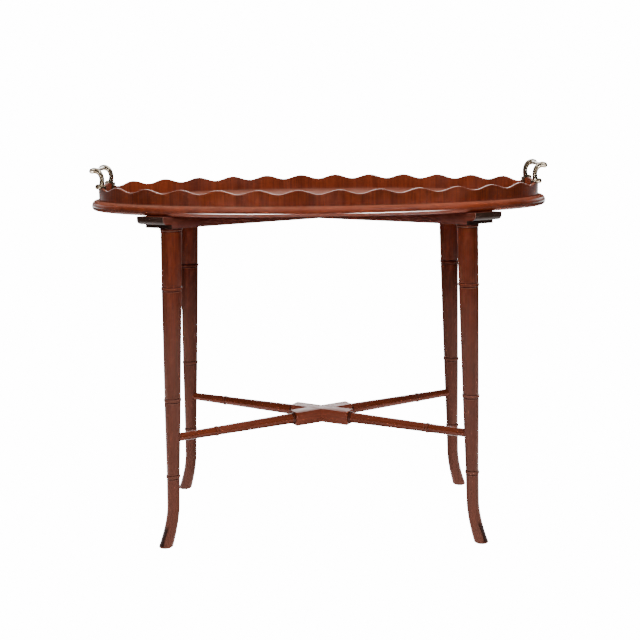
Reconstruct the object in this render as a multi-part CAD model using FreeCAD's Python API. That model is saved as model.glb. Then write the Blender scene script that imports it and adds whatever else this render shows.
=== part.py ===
import FreeCAD, Part
import math
import os

# Tray top coffee table: an oval gallery tray that lifts off a turned stand.
# Millimetres. The origin is on the floor under the centre, X runs along the tray.

# Tray board
board_length = 720.0
board_width = 352.0
board_thickness = 15.0
board_underside_height = 514.0
board_upper_reach = 7.0
board_lower_reach = 5.0
board_nose_drop = 9.0

# Gallery round the tray, in two bent strips
gallery_inset = 11.5
gallery_thickness = 5.0
gallery_crest_height = 23.5
gallery_trough_height = 17.2
gallery_wave_count = 28
gallery_points_per_wave = 4
gallery_end_gap = 0.1

# Handles: two cast scroll arms and a turned grip at each end
handle_arm_offset = 40.0
handle_height = 30.0
handle_overhang = 14.0
handle_arm_width = 7.0
handle_waist_radius = 1.7
handle_head_radius = 4.6
handle_seat_gap = 0.15
tang_length = 13.0
tang_width = 8.0
tang_thickness = 2.0
grip_radius = 2.6
grip_bead_radius = 3.3
grip_bead_length = 2.4
grip_tenon_radius = 1.4
grip_tenon_length = 2.4

# Stand top: two crossed beams
stand_angle = 28.2
beam_width = 36.0
beam_depth = 18.0
beam_reach = 284.0
beam_nose_radius = 6.2
beam_nose_depth = 12.4
beam_step_back = 10.8
lap_screw_radius = 2.2
lap_screw_head_radius = 4.6
lap_screw_head_depth = 2.6
lap_screw_length = 15.0

# Locating pegs, glued in the beams and loose in the board
peg_radius = 4.0
peg_stand = 8.0
peg_sink = 10.0
peg_tip_bevel = 1.2
peg_inset = 94.0
peg_clearance = 0.5

# Legs
leg_inset = 33.0
leg_tilt = 1.6
leg_top_radius = 15.9
leg_ring_one_height = 404.0
leg_ring_two_height = 232.0
leg_ring_three_height = 111.0
leg_ring_one_radius = 15.0
leg_ring_two_radius = 12.4
leg_ring_three_radius = 10.0
leg_collar_radius = 17.0
leg_collar_height = 4.5
leg_tenon_radius = 9.0
leg_tenon_length = 12.0
ring_height = 5.0
ring_proud = 1.1
ring_crown_share = 0.4
foot_start_height = 64.0
foot_neck_radius = 9.7
foot_sole_radius = 11.2
foot_sweep = 13.0
foot_sweep_power = 1.7
foot_girth_power = 2.0
foot_section_count = 7

# Crossed stretchers, turned from square stock
stretcher_height = 171.5
stretcher_square = 22.0
stretcher_square_half = 52.0
stretcher_collar_radius = 9.6
stretcher_collar_length = 3.5
stretcher_centre_radius = 8.4
stretcher_leg_radius = 6.2
stretcher_ring_inset = 72.6
stretcher_tenon_radius = 4.2
stretcher_tenon_bite = 9.0

# Fits
glue_gap = 0.1
cope_gap = 0.3
overrun = 4.0

# Worked out from the sizes above
board_top_height = board_underside_height + board_thickness
half_length = board_length / 2
half_width = board_width / 2
gallery_half_length = half_length - gallery_inset
gallery_half_width = half_width - gallery_inset
beam_underside_height = board_underside_height - beam_depth
peg_place = beam_reach - peg_inset
leg_spread = beam_reach - leg_inset
leg_slope = math.tan(math.radians(leg_tilt))
leg_axis_at_stretcher = leg_spread + leg_slope * (beam_underside_height - stretcher_height)
stretcher_ring_place = leg_axis_at_stretcher - stretcher_ring_inset

X_AXIS = FreeCAD.Vector(1, 0, 0)
Y_AXIS = FreeCAD.Vector(0, 1, 0)
Z_AXIS = FreeCAD.Vector(0, 0, 1)

# Share of the handle's overhang and height at each point of an arm's spine, from its foot's tip
arm_spine_shares = (
    (0.38, 0.03), (0.17, 0.03), (-0.04, 0.09), (-0.10, 0.22),
    (-0.13, 0.40), (-0.05, 0.60), (0.21, 0.79), (0.63, 0.87), (0.95, 0.845),
)
# Share of the way from the waist's to the head's thickness at the same points
arm_girth_shares = (0.50, 0.60, 0.55, 0.28, 0.02, 0.22, 0.72, 0.98, 0.80)
# Places across an arm's tang where the gallery's top edge is looked up
arm_width_shares = (-1.0, -0.5, 0.0, 0.5, 1.0)
# Share of the edge's reach, and of the drop or rise to the nose, along each curve of the moulded edge
edge_curve_shares = ((1.0, 0.0), (0.62, 0.075), (0.29, 0.293), (0.075, 0.617))


def vec(x, y, z):
    """Give a point or a direction."""
    return FreeCAD.Vector(x, y, z)


def direction(angle):
    """Give the level direction at an angle from X, in degrees."""
    return vec(math.cos(math.radians(angle)), math.sin(math.radians(angle)), 0)


def turned(profile_edges, axis_point, axis):
    """Turn a closed outline about an axis."""
    return Part.Face(Part.Wire(profile_edges)).revolve(axis_point, axis, 360)


def straight_edges(points):
    """Join points by straight edges."""
    return [Part.makeLine(a, b) for a, b in zip(points, points[1:])]


def arc_chain(points):
    """Join points by arcs, each through three of them."""
    return [Part.Arc(*points[i:i + 3]).toShape() for i in range(0, len(points) - 1, 2)]


def block(low, high):
    """Make a box between two corners."""
    size = high - low
    return Part.makeBox(size.x, size.y, size.z, low)


def save(name, shape):
    """Write one piece, or one group of like pieces."""
    shape = shape.removeSplitter()
    if not shape.isValid():
        print("not valid:", name)
    shape.exportStep(os.path.join("parts", name + ".step"))
    print(name, len(shape.Solids), round(shape.Volume, 1))


# Tray board


def oval_wire(inset, height):
    """Draw the board's oval, drawn in all round, at a height."""
    return Part.Wire([Part.Ellipse(vec(0, 0, height), half_length - inset, half_width - inset).toShape()])


def edge_wires():
    """Draw the ovals of the moulded edge: a long upper curve, the nose and a short lower curve."""
    nose = board_top_height - board_nose_drop
    upper = [oval_wire(board_upper_reach * reach, board_top_height - board_nose_drop * drop)
             for reach, drop in edge_curve_shares]
    lower = [oval_wire(board_lower_reach * reach, board_underside_height
                       + (nose - board_underside_height) * drop) for reach, drop in edge_curve_shares]
    return upper + [oval_wire(0, nose)] + lower[::-1]


def make_board():
    """Make the oval board with its moulded edge and its holes."""
    board = Part.makeLoft(edge_wires(), True, True)
    return board.cut([peg_hole(place) for place in peg_places()])


# Gallery


def quarter_lengths(a, b, steps):
    """Give the length along an oval from its long end at even steps of angle."""
    lengths = [0.0]
    for i in range(steps):
        t0, t1 = math.pi / 2 * i / steps, math.pi / 2 * (i + 1) / steps
        step = math.hypot(a * (math.cos(t1) - math.cos(t0)), b * (math.sin(t1) - math.sin(t0)))
        lengths.append(lengths[-1] + step)
    return lengths


# A quarter of the gallery's oval, measured along in short steps
OVAL_STEPS = 900
OVAL_LENGTHS = quarter_lengths(gallery_half_length, gallery_half_width, OVAL_STEPS)


def oval_angle(turn_share):
    """Give the oval's own angle at a share of the way round it by length."""
    quarter = int(turn_share * 4)
    rest = turn_share * 4 - quarter
    if quarter % 2:
        rest = 1 - rest
    want = min(max(rest, 0.0), 1.0) * OVAL_LENGTHS[-1]
    i = 0
    while i < OVAL_STEPS - 1 and OVAL_LENGTHS[i + 1] < want:
        i += 1
    span = OVAL_LENGTHS[i + 1] - OVAL_LENGTHS[i]
    angle = math.pi / 2 * (i + (want - OVAL_LENGTHS[i]) / span) / OVAL_STEPS
    if quarter % 2:
        return math.pi / 2 * (quarter + 1) - angle
    return math.pi / 2 * quarter + angle


def gallery_point(turn_share, depth, height):
    """Give a point at a share round the gallery, a depth inside its outer face."""
    angle = oval_angle(turn_share)
    across = vec(math.cos(angle) * gallery_half_width, math.sin(angle) * gallery_half_length, 0)
    across.normalize()
    base = vec(math.cos(angle) * gallery_half_length, math.sin(angle) * gallery_half_width, height)
    return base - across * depth


def wave_height(turn_share):
    """Give the height of the gallery's top edge: crests fall midway between troughs."""
    middle = (gallery_crest_height + gallery_trough_height) / 2
    swing = (gallery_crest_height - gallery_trough_height) / 2
    return board_top_height + middle - swing * math.cos(2 * math.pi * gallery_wave_count * turn_share)


def gallery_curve(shares, depth, wavy):
    """Draw one long edge of a gallery strip."""
    points = []
    for share in shares:
        height = wave_height(share) if wavy else board_top_height
        points.append(gallery_point(share, depth, height))
    curve = Part.BSplineCurve()
    curve.interpolate(Points=points, Parameters=list(shares))
    return curve.toShape()


def make_gallery_strip(start_share, end_share):
    """Bend one strip along its half of the oval and cut its top to the wave."""
    round_length = 4 * OVAL_LENGTHS[-1]
    gap_share = gallery_end_gap / round_length
    count = int(gallery_wave_count * gallery_points_per_wave / 2)
    first, last = start_share + gap_share, end_share - gap_share
    shares = [first + (last - first) * i / count for i in range(count + 1)]
    low_out = gallery_curve(shares, 0, False)
    low_in = gallery_curve(shares, gallery_thickness, False)
    high_out = gallery_curve(shares, 0, True)
    high_in = gallery_curve(shares, gallery_thickness, True)
    faces = [Part.makeRuledSurface(a, b) for a, b in (
        (low_out, high_out), (high_out, high_in), (high_in, low_in), (low_in, low_out))]
    for share in (first, last):
        corners = [gallery_point(share, 0, board_top_height), gallery_point(share, 0, wave_height(share)),
                   gallery_point(share, gallery_thickness, wave_height(share)),
                   gallery_point(share, gallery_thickness, board_top_height)]
        faces.append(Part.Face(Part.Wire(straight_edges(corners + corners[:1]))))
    shell = Part.Compound(faces)
    shell.sewShape()
    strip = Part.Solid(shell.Shells[0])
    if strip.Volume < 0:
        strip.reverse()
    return strip


# Handles, drawn for the right end and turned about for the left


def arm_share():
    """Give the share round the gallery where an arm stands, by its distance from the long axis."""
    angle = math.asin(handle_arm_offset / gallery_half_width)
    place = angle / (math.pi / 2) * OVAL_STEPS
    i = int(place)
    length = OVAL_LENGTHS[i] + (OVAL_LENGTHS[i + 1] - OVAL_LENGTHS[i]) * (place - i)
    return length / (4 * OVAL_LENGTHS[-1])


ARM_SHARE = arm_share()


def arm_seat(side):
    """Give the arm's own frame: the gallery's outer top corner and its directions."""
    share = ARM_SHARE if side > 0 else 1 - ARM_SHARE
    outer = gallery_point(share, 0, wave_height(share))
    inner = gallery_point(share, gallery_thickness, wave_height(share))
    out = outer - inner
    out.normalize()
    return outer, out


def arm_crown():
    """Give the highest place of the gallery's top edge under the width of an arm's tang."""
    reach = tang_width / 2 / (4 * OVAL_LENGTHS[-1])
    return max(wave_height(ARM_SHARE + reach * share) for share in arm_width_shares)


def arm_point(side, across, up):
    """Give a point on an arm, across from the gallery's face and up from its top."""
    outer, _ = arm_seat(side)
    return vec(outer.x + across, outer.y, arm_crown() + up)


def scroll_outline(side):
    """Draw a scroll arm from the side: a thin waist between its foot and its heavy head."""
    points = [arm_point(side, handle_overhang * a, handle_height * h) for a, h in arm_spine_shares]
    spine = Part.BSplineCurve()
    spine.interpolate(points)
    outer, inner = [], []
    for point, share in zip(points, arm_girth_shares):
        half = handle_waist_radius + (handle_head_radius - handle_waist_radius) * share
        along = spine.tangent(spine.parameter(point))[0]
        outer.append(point + Y_AXIS.cross(along) * half)
        inner.append(point - Y_AXIS.cross(along) * half)
    foot = points[0] - spine.tangent(spine.FirstParameter)[0] * (outer[0] - points[0]).Length
    head = points[-1] + spine.tangent(spine.LastParameter)[0] * (outer[-1] - points[-1]).Length
    return Part.Wire(arc_chain(outer + [head] + inner[::-1] + [foot] + outer[:1]))


def make_arm(side):
    """Cast one scroll arm with its tang down the inside of the gallery."""
    face = Part.Face(scroll_outline(side))
    face.translate(vec(0, -handle_arm_width / 2, 0))
    arm = face.extrude(vec(0, handle_arm_width, 0)).fuse(make_tang(side)).cut(seat_cutter(side))
    return arm.cut(grip_tenons(glue_gap))


def seat_cutter(side):
    """Make the space that the gallery fills under an arm, a little clear of both of its faces."""
    outer, out = arm_seat(side)
    half_wide, deep = tang_width + overrun, tang_length + overrun
    slab = block(vec(-gallery_thickness - glue_gap, -half_wide, -deep), vec(handle_seat_gap, half_wide, 0))
    slab.translate(vec(0, 0, arm_crown() + handle_seat_gap))
    slab.rotate(vec(0, 0, 0), Z_AXIS, math.degrees(math.atan2(out.y, out.x)))
    slab.translate(vec(outer.x, outer.y, 0))
    return slab


def make_tang(side):
    """Make the flat tang behind the gallery, with the neck that joins it to the arm."""
    outer, out = arm_seat(side)
    tang = Part.makeBox(tang_thickness, tang_width, tang_length)
    neck = Part.makeBox(gallery_thickness + tang_thickness, tang_width, tang_thickness)
    tang.translate(vec(0, 0, -tang_length))
    plate = tang.fuse(neck)
    plate.translate(vec(-gallery_thickness - glue_gap - tang_thickness, -tang_width / 2,
                        arm_crown() + handle_seat_gap))
    plate.rotate(vec(0, 0, 0), Z_AXIS, math.degrees(math.atan2(out.y, out.x)))
    plate.translate(vec(outer.x, outer.y, 0))
    return plate


def grip_axis_point():
    """Give the middle of a grip's axis."""
    across, up = arm_spine_shares[-2]
    return vec(arm_point(1, handle_overhang * across, 0).x, 0, arm_crown() + handle_height * up)


def grip_half():
    """Give half of a grip's length between the inner faces of the two arms."""
    outer, _ = arm_seat(1)
    return outer.y - handle_arm_width / 2


def make_grip():
    """Turn the grip: a rod with a bead at each end and short tenons."""
    half = grip_half()
    tip, bead = half + grip_tenon_length, half - grip_bead_length
    end = [vec(0, tip, 0), vec(grip_tenon_radius, tip, 0), vec(grip_tenon_radius, half, 0),
           vec(grip_radius, half, 0), vec(grip_bead_radius, half - grip_bead_length / 2, 0),
           vec(grip_radius, bead, 0)]
    back = [vec(point.x, -point.y, 0) for point in reversed(end)]
    grip = turned(straight_edges(end + back + end[:1]), vec(0, 0, 0), Y_AXIS)
    grip.translate(grip_axis_point())
    return grip


def grip_tenons(gap):
    """Make the space for a grip's tenons in the arms."""
    length = grip_half() + grip_tenon_length + gap
    start = grip_axis_point() - Y_AXIS * length
    return Part.makeCylinder(grip_tenon_radius + gap, length * 2, start, Y_AXIS)


def turned_about(shape):
    """Give the shape turned half a turn about the upright axis."""
    copy = shape.copy()
    copy.rotate(vec(0, 0, 0), Z_AXIS, 180)
    return copy


# Stand top


def oval_normal(angle, reach):
    """Give the direction square to the board's edge where a beam points."""
    there = direction(angle) * reach
    normal = vec(there.x / half_length ** 2, there.y / half_width ** 2, 0)
    normal.normalize()
    return normal


def beam_profile_prism(angle):
    """Make the long prism whose nosed end follows the board's oval."""
    normal = oval_normal(angle, beam_reach)
    reach = (direction(angle) * beam_reach).dot(normal)
    shoulder = board_underside_height - beam_nose_depth
    nose = beam_nose_radius * (1 - math.sqrt(0.5))

    def at(along, height):
        return normal * along + vec(0, 0, height)

    points = [at(reach - beam_nose_radius, shoulder), at(reach - beam_step_back, shoulder),
              at(reach - beam_step_back, beam_underside_height), at(-board_length, beam_underside_height),
              at(-board_length, board_underside_height), at(reach, board_underside_height),
              at(reach, shoulder + beam_nose_radius)]
    edges = straight_edges(points)
    edges.append(Part.Arc(points[-1], at(reach - nose, shoulder + nose), points[0]).toShape())
    across = Z_AXIS.cross(normal)
    face = Part.Face(Part.Wire(edges))
    face.translate(across * -board_length)
    return face.extrude(across * (2 * board_length))


def plain_bar(angle, width, low, high, reach):
    """Make a straight bar through the centre at an angle."""
    bar = block(vec(-reach, -width / 2, low), vec(reach, width / 2, high))
    bar.rotate(vec(0, 0, 0), Z_AXIS, angle)
    return bar


def make_beam(angle, lap_low, lap_high):
    """Make one beam: nosed ends, its half of the lap, leg and peg mortises."""
    bar = plain_bar(angle, beam_width, beam_underside_height, board_underside_height, board_length)
    beam = bar.common(beam_profile_prism(angle)).common(turned_about(beam_profile_prism(angle)))
    beam = beam.cut(plain_bar(-angle, beam_width, lap_low, lap_high, board_length))
    tools = [lap_screw_hole(board_underside_height, -1)]
    for turn in (angle, angle + 180):
        tools.append(leg_tenon(turn, glue_gap))
        tools.append(peg_socket(turn))
    return beam.cut(tools)


def beam_lap_height():
    """Give the height at which the two beams meet in their lap."""
    return (beam_underside_height + board_underside_height) / 2


def lap_screw(face, way):
    """Make the countersunk screw of a lap joint, driven from a level face up (1) or down (-1)."""
    tip = face + way * lap_screw_length
    points = [vec(0, 0, face), vec(lap_screw_head_radius, 0, face),
              vec(lap_screw_radius, 0, face + way * lap_screw_head_depth), vec(lap_screw_radius, 0, tip),
              vec(0, 0, tip)]
    return turned(straight_edges(points + points[:1]), vec(0, 0, 0), Z_AXIS)


def lap_screw_hole(face, way):
    """Make the hole for a lap screw, a glue gap larger."""
    reach, tip = lap_screw_head_radius + glue_gap, face + way * (lap_screw_length + glue_gap)
    shank = lap_screw_radius + glue_gap
    points = [vec(0, 0, face - way * overrun), vec(reach, 0, face - way * overrun), vec(reach, 0, face),
              vec(shank, 0, face + way * lap_screw_head_depth), vec(shank, 0, tip), vec(0, 0, tip)]
    return turned(straight_edges(points + points[:1]), vec(0, 0, 0), Z_AXIS)


def make_lap_screws():
    """Make the screws of the laps: down through the beams and up through the stretchers."""
    return Part.makeCompound([lap_screw(board_underside_height, -1),
                              lap_screw(stretcher_height - stretcher_square / 2, 1)])


def peg_places():
    """Give the point on a beam's top where each peg stands."""
    places = []
    for angle in (stand_angle, -stand_angle):
        for turn in (angle, angle + 180):
            places.append(direction(turn) * peg_place + vec(0, 0, board_underside_height))
    return places


def make_pegs():
    """Make the four bevelled locating pegs."""
    pegs = []
    top, low = peg_stand, -peg_sink
    points = [vec(0, 0, low), vec(peg_radius, 0, low), vec(peg_radius, 0, top - peg_tip_bevel),
              vec(peg_radius - peg_tip_bevel, 0, top), vec(0, 0, top)]
    for place in peg_places():
        peg = turned(straight_edges(points + points[:1]), vec(0, 0, 0), Z_AXIS)
        peg.translate(place)
        pegs.append(peg)
    return Part.makeCompound(pegs)


def peg_hole(place):
    """Make the loose hole for a peg in the board."""
    start = place - Z_AXIS * overrun
    length = overrun + peg_stand + peg_clearance * 2
    return Part.makeCylinder(peg_radius + peg_clearance, length, start, Z_AXIS)


def peg_socket(turn):
    """Make the glued socket for a peg in its beam."""
    depth = peg_sink + glue_gap
    start = direction(turn) * peg_place + vec(0, 0, board_underside_height - depth)
    return Part.makeCylinder(peg_radius + glue_gap, depth + overrun, start, Z_AXIS)


# Legs


def leg_axis_at(turn, height):
    """Give the point of a leg's axis at a height."""
    return direction(turn) * (leg_spread + leg_slope * (beam_underside_height - height)) + vec(0, 0, height)


def leg_tenon(turn, gap):
    """Make a leg's upright tenon, larger all round by a gap."""
    return Part.makeCylinder(leg_tenon_radius + gap, leg_tenon_length + gap,
                             leg_axis_at(turn, beam_underside_height), Z_AXIS)


def leg_radius_at(height):
    """Give the turned leg's radius at a height between its rings."""
    stations = [(beam_underside_height, leg_top_radius), (leg_ring_one_height, leg_ring_one_radius),
                (leg_ring_two_height, leg_ring_two_radius), (leg_ring_three_height, leg_ring_three_radius),
                (foot_start_height, foot_neck_radius)]
    for (z1, r1), (z0, r0) in zip(stations, stations[1:]):
        if height >= z0:
            return r0 + (r1 - r0) * (height - z0) / (z1 - z0)
    return foot_neck_radius


def ring_points(at, centre, radius_at, sign):
    """Give a bamboo ring's outline: a bead with a narrow crown."""
    points = []
    for share, rise in ((-1, 0), (-ring_crown_share, ring_proud), (ring_crown_share, ring_proud), (1, 0)):
        place = centre + sign * share * ring_height / 2
        points.append(at(place, radius_at(place) + rise))
    return points


def leg_outline():
    """Draw half of the turned leg from its collar down to the foot's neck."""
    def at(height, radius):
        return vec(radius, 0, height)

    top = beam_underside_height + leg_collar_height
    low = beam_underside_height - leg_collar_height
    points = [at(top, 0), at(top, leg_collar_radius), at(low, leg_collar_radius),
              at(low, leg_radius_at(low))]
    for centre in (leg_ring_one_height, leg_ring_two_height, leg_ring_three_height):
        points += ring_points(at, centre, leg_radius_at, -1)
    points += [at(foot_start_height, foot_neck_radius), at(foot_start_height, 0)]
    return straight_edges(points + points[:1])


def make_foot():
    """Loft the sabre foot from the leg's neck out to its flat sole."""
    rings = []
    for i in range(foot_section_count):
        down = i / (foot_section_count - 1)
        radius = foot_neck_radius + (foot_sole_radius - foot_neck_radius) * down ** foot_girth_power
        height = foot_start_height * (1 - down)
        out = foot_sweep * down ** foot_sweep_power + leg_slope * (foot_start_height - height)
        lean = math.radians(leg_tilt) * (1 - down)
        facing = vec(-math.sin(lean), 0, math.cos(lean))
        rings.append(Part.Wire([Part.makeCircle(radius, vec(out, 0, height), facing)]))
    return Part.makeLoft(rings, True, True)


def make_leg(turn):
    """Make one leg with its tenon, sabre foot and stretcher socket."""
    shaft = turned(leg_outline(), vec(0, 0, 0), Z_AXIS)
    neck = vec(0, 0, foot_start_height)
    shaft.rotate(neck, Y_AXIS, -leg_tilt)
    cap = block(vec(-board_width, -board_width, beam_underside_height),
                vec(board_width, board_width, board_top_height))
    shaft = shaft.cut(cap)
    leg = shaft.fuse(make_foot())
    leg.translate(vec(leg_axis_at(0, foot_start_height).x, 0, 0))
    leg.rotate(vec(0, 0, 0), Z_AXIS, turn)
    leg = leg.fuse(leg_tenon(turn, 0))
    return leg.cut(stretcher_tenon(turn, glue_gap))


# Stretchers


def stretcher_tenon(turn, gap):
    """Make the round tenon of a stretcher in a leg, larger all round by a gap."""
    axis_reach = leg_axis_at(0, stretcher_height).x
    surface = axis_reach - leg_radius_at(stretcher_height)
    start = surface - overrun
    length = overrun + stretcher_tenon_bite + gap
    rod = Part.makeCylinder(stretcher_tenon_radius + gap, length, vec(start, 0, stretcher_height), X_AXIS)
    rod.rotate(vec(0, 0, 0), Z_AXIS, turn)
    return rod


def stretcher_radius_at(place):
    """Give the turned stretcher's radius at a distance from the centre."""
    end = leg_axis_at(0, stretcher_height).x
    share = (place - stretcher_square_half) / (end - stretcher_square_half)
    return stretcher_centre_radius + (stretcher_leg_radius - stretcher_centre_radius) * share


def stretcher_outline():
    """Draw half of one turned arm, from the square out to the leg's axis."""
    def at(place, radius):
        return vec(place, radius, stretcher_height)

    start = stretcher_square_half - stretcher_collar_length
    collar = stretcher_square_half + stretcher_collar_length
    end = leg_axis_at(0, stretcher_height).x
    points = [at(start, 0), at(start, stretcher_collar_radius), at(collar, stretcher_collar_radius),
              at(collar + ring_proud, stretcher_radius_at(collar))]
    points += ring_points(at, stretcher_ring_place, stretcher_radius_at, 1)
    points += [at(end, stretcher_radius_at(end)), at(end, 0)]
    return straight_edges(points + points[:1])


def leg_cope(turn):
    """Make the round of a leg's shaft that a stretcher's shoulder is coped to."""
    reach = stretcher_centre_radius + overrun
    low = leg_axis_at(turn, stretcher_height - reach)
    high = leg_axis_at(turn, stretcher_height + reach)
    radius = leg_radius_at(stretcher_height) + cope_gap
    return Part.makeCylinder(radius, (high - low).Length, low, high - low)


def make_stretcher(angle, lap_low, lap_high):
    """Make one long stretcher: two turned arms, a square middle and its half lap."""
    low, high = stretcher_height - stretcher_square / 2, stretcher_height + stretcher_square / 2
    body = plain_bar(angle, stretcher_square, low, high, stretcher_square_half)
    for turn in (angle, angle + 180):
        arm = turned(stretcher_outline(), vec(0, 0, stretcher_height), X_AXIS)
        arm.rotate(vec(0, 0, 0), Z_AXIS, turn)
        body = body.fuse(arm.cut(leg_cope(turn))).fuse(stretcher_tenon(turn, 0))
    body = body.cut(plain_bar(-angle, stretcher_square, lap_low, lap_high, stretcher_square_half * 2))
    return body.cut(lap_screw_hole(low, 1))


def main():
    """Build every piece and write it out."""
    os.makedirs("parts", exist_ok=True)
    save("tray_board", make_board())
    save("gallery_back", make_gallery_strip(0.0, 0.5))
    save("gallery_front", make_gallery_strip(0.5, 1.0))
    save("handle_right_arm_front", make_arm(-1))
    save("handle_right_arm_back", make_arm(1))
    save("handle_left_arm_back", turned_about(make_arm(-1)))
    save("handle_left_arm_front", turned_about(make_arm(1)))
    save("handle_right_grip", make_grip())
    save("handle_left_grip", turned_about(make_grip()))
    save("top_beam_a", make_beam(stand_angle, beam_lap_height(), board_top_height))
    save("top_beam_b", make_beam(-stand_angle, 0, beam_lap_height()))
    save("locating_pegs", make_pegs())
    save("leg_back_right", make_leg(stand_angle))
    save("leg_back_left", make_leg(180 - stand_angle))
    save("leg_front_left", make_leg(180 + stand_angle))
    save("leg_front_right", make_leg(-stand_angle))
    save("stretcher_a", make_stretcher(stand_angle, stretcher_height, board_top_height))
    save("stretcher_b", make_stretcher(-stand_angle, 0, stretcher_height))
    save("lap_screws", make_lap_screws())


main()
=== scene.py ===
"""Tray top coffee table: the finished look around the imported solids.

An oval gallery tray with brass grip handles stands on crossed beams, turned bamboo-style
legs with sabre feet and crossed stretchers. All lengths are in metres, in the solids' frame.
"""

import logging
import math
from dataclasses import dataclass, field
from enum import Enum
from functools import reduce
from typing import Callable

import bmesh
import bpy
from mathutils import Matrix, Vector


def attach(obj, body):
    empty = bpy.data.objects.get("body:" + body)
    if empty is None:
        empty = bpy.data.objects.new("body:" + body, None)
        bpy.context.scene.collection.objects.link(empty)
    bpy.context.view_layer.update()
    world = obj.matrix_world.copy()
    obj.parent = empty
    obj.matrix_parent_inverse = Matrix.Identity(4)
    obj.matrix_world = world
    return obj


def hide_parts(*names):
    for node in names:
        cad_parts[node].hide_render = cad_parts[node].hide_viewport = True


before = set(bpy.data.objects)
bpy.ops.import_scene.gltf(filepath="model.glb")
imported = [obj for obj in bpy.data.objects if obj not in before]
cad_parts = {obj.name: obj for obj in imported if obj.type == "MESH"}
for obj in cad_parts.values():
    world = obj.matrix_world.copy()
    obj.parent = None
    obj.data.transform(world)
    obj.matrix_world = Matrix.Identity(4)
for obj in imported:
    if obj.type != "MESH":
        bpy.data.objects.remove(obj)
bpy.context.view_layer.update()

logger = logging.getLogger("tray_table")

Mesh = bmesh.types.BMesh
Material = bpy.types.Material
Socket = bpy.types.NodeSocket
Colour = tuple[float, float, float]
Band = tuple[float, float]

MM = 0.001
FULL_TURN = 2 * math.pi
CROSS_ANGLE = 28.2
BOARD_HALF_LENGTH = 360 * MM
BOARD_HALF_WIDTH = 176 * MM
BOARD_UNDERSIDE = 514 * MM
BOARD_TOP = 529 * MM
FOOT_START = 64 * MM
FOOT_SWEEP = 13 * MM
SWEEP_POWER = 1.7
CRISP_ANGLE = 60.0
ARRIS_FACETS = 3
MERGE_DISTANCE = 1e-7
WHITE = (1.0, 1.0, 1.0)

# Marks on the mesh: the edge mark goes from -1 for painted shade in grooves and under collars to 1
# for a painted highlight on an edge, and its light side also shows the gallery lip's wear. The end
# mark is 1 on a cut end of end grain and -1 for a painted highlight on the upright corners beside it
EDGE_SHADE_HIGHLIGHT_WEAR = "edge_shade_highlight_wear"
END_GRAIN_AND_CORNER_HIGHLIGHT = "end_grain"
PAINTED_SHADE, PAINTED_HIGHLIGHT = -1.0, 1.0
CUT_END, PAINTED_CORNER_HIGHLIGHT = 1.0, -1.0


class Body(Enum):
    """The two bodies of the table."""

    STAND = "stand"
    TRAY = "tray"


class Slot(Enum):
    """The record's material slots; each new piece holds one, though nothing here reads it."""

    BOARD = "mahogany_board"
    GALLERY = "mahogany_gallery"
    STAND = "mahogany_stand"
    BRASS = "brass_handles"


# Mesh helpers


def move(bm: Mesh, verts: list, matrix: Matrix) -> None:
    """Move some vertices.

    Args:
        bm: The mesh.
        verts: The vertices to move.
        matrix: The place and turn to give them.
    """
    bmesh.ops.transform(bm, matrix=matrix, verts=verts)


def ring(bm: Mesh, count: int, place: Callable[[int], Vector]) -> list:
    """Make one closed ring of vertices.

    Args:
        bm: The mesh.
        count: How many vertices it has.
        place: Gives each vertex's place from its number.

    Returns:
        The ring's vertices, in order.
    """
    verts = bmesh.ops.create_circle(bm, cap_ends=False, segments=count, radius=1.0)["verts"]
    for i, vert in enumerate(verts):
        vert.co = place(i)
    return verts


def ring_edges(verts: list) -> list:
    """Give the edges that join a ring's vertices to each other."""
    inside = set(verts)
    return list({edge for vert in verts for edge in vert.link_edges
                 if edge.other_vert(vert) in inside})


def skin(bm: Mesh, rings: list, closed: bool = False) -> None:
    """Bridge rings one after the other.

    Args:
        bm: The mesh.
        rings: Rings of vertices, in order.
        closed: Whether the last ring is bridged to the first one. Otherwise both are filled.
    """
    edges = [ring_edges(verts) for verts in rings]
    pairs = list(zip(edges, edges[1:])) + ([(edges[-1], edges[0])] if closed else [])
    for first, second in pairs:
        bmesh.ops.bridge_loops(bm, edges=first + second)
    for verts in () if closed else (rings[0], rings[-1]):
        bmesh.ops.contextual_create(bm, geom=ring_edges(verts))


def turn(bm: Mesh, profile: list[tuple[float, ...]], facets: int) -> list:
    """Turn a half outline about the Z axis.

    Args:
        bm: The mesh, with the layer of edge marks if the outline gives any.
        profile: Radius, height and, where it isn't 0, the edge mark of each point, from the axis
            back to the axis: below 0 for painted shade, above 0 for a painted highlight.
        facets: How many facets go round.

    Returns:
        The turned piece's vertices.
    """
    before = set(bm.verts)
    points = [bm.verts.new((radius, 0.0, height)) for radius, height, *_ in profile]
    layer = bm.verts.layers.float.get(EDGE_SHADE_HIGHLIGHT_WEAR)
    for point, (_, _, *wear) in zip(points, profile):
        if wear:
            point[layer] = wear[0]
    edges = [bm.edges.new(pair) for pair in zip(points, points[1:])]
    bmesh.ops.spin(bm, geom=points + edges, cent=(0, 0, 0), axis=(0, 0, 1), dvec=(0, 0, 0),
                   angle=FULL_TURN, steps=facets, use_merge=True, use_duplicate=False)
    made = [vert for vert in bm.verts if vert not in before]
    bmesh.ops.remove_doubles(bm, verts=made, dist=MERGE_DISTANCE)
    return [vert for vert in bm.verts if vert not in before]


def bar(bm: Mesh, low: Vector, high: Vector) -> list:
    """Make a block between two corners.

    Args:
        bm: The mesh.
        low: Its lowest corner.
        high: Its highest corner.

    Returns:
        The block's vertices.
    """
    verts = bmesh.ops.create_cube(bm, size=1.0)["verts"]
    size = high - low
    move(bm, verts, Matrix.Translation((low + high) / 2) @ Matrix.Diagonal((*size, 1.0)))
    return verts


def soften(bm: Mesh, edges: list, width: float, segments: int) -> None:
    """Round some edges.

    Args:
        bm: The mesh.
        edges: The edges to round.
        width: How far each rounding reaches.
        segments: How many facets it has.
    """
    bmesh.ops.bevel(bm, geom=edges, offset=width, offset_type="OFFSET", segments=segments,
                    profile=0.5, affect="EDGES", clamp_overlap=True, material=-1)


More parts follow.
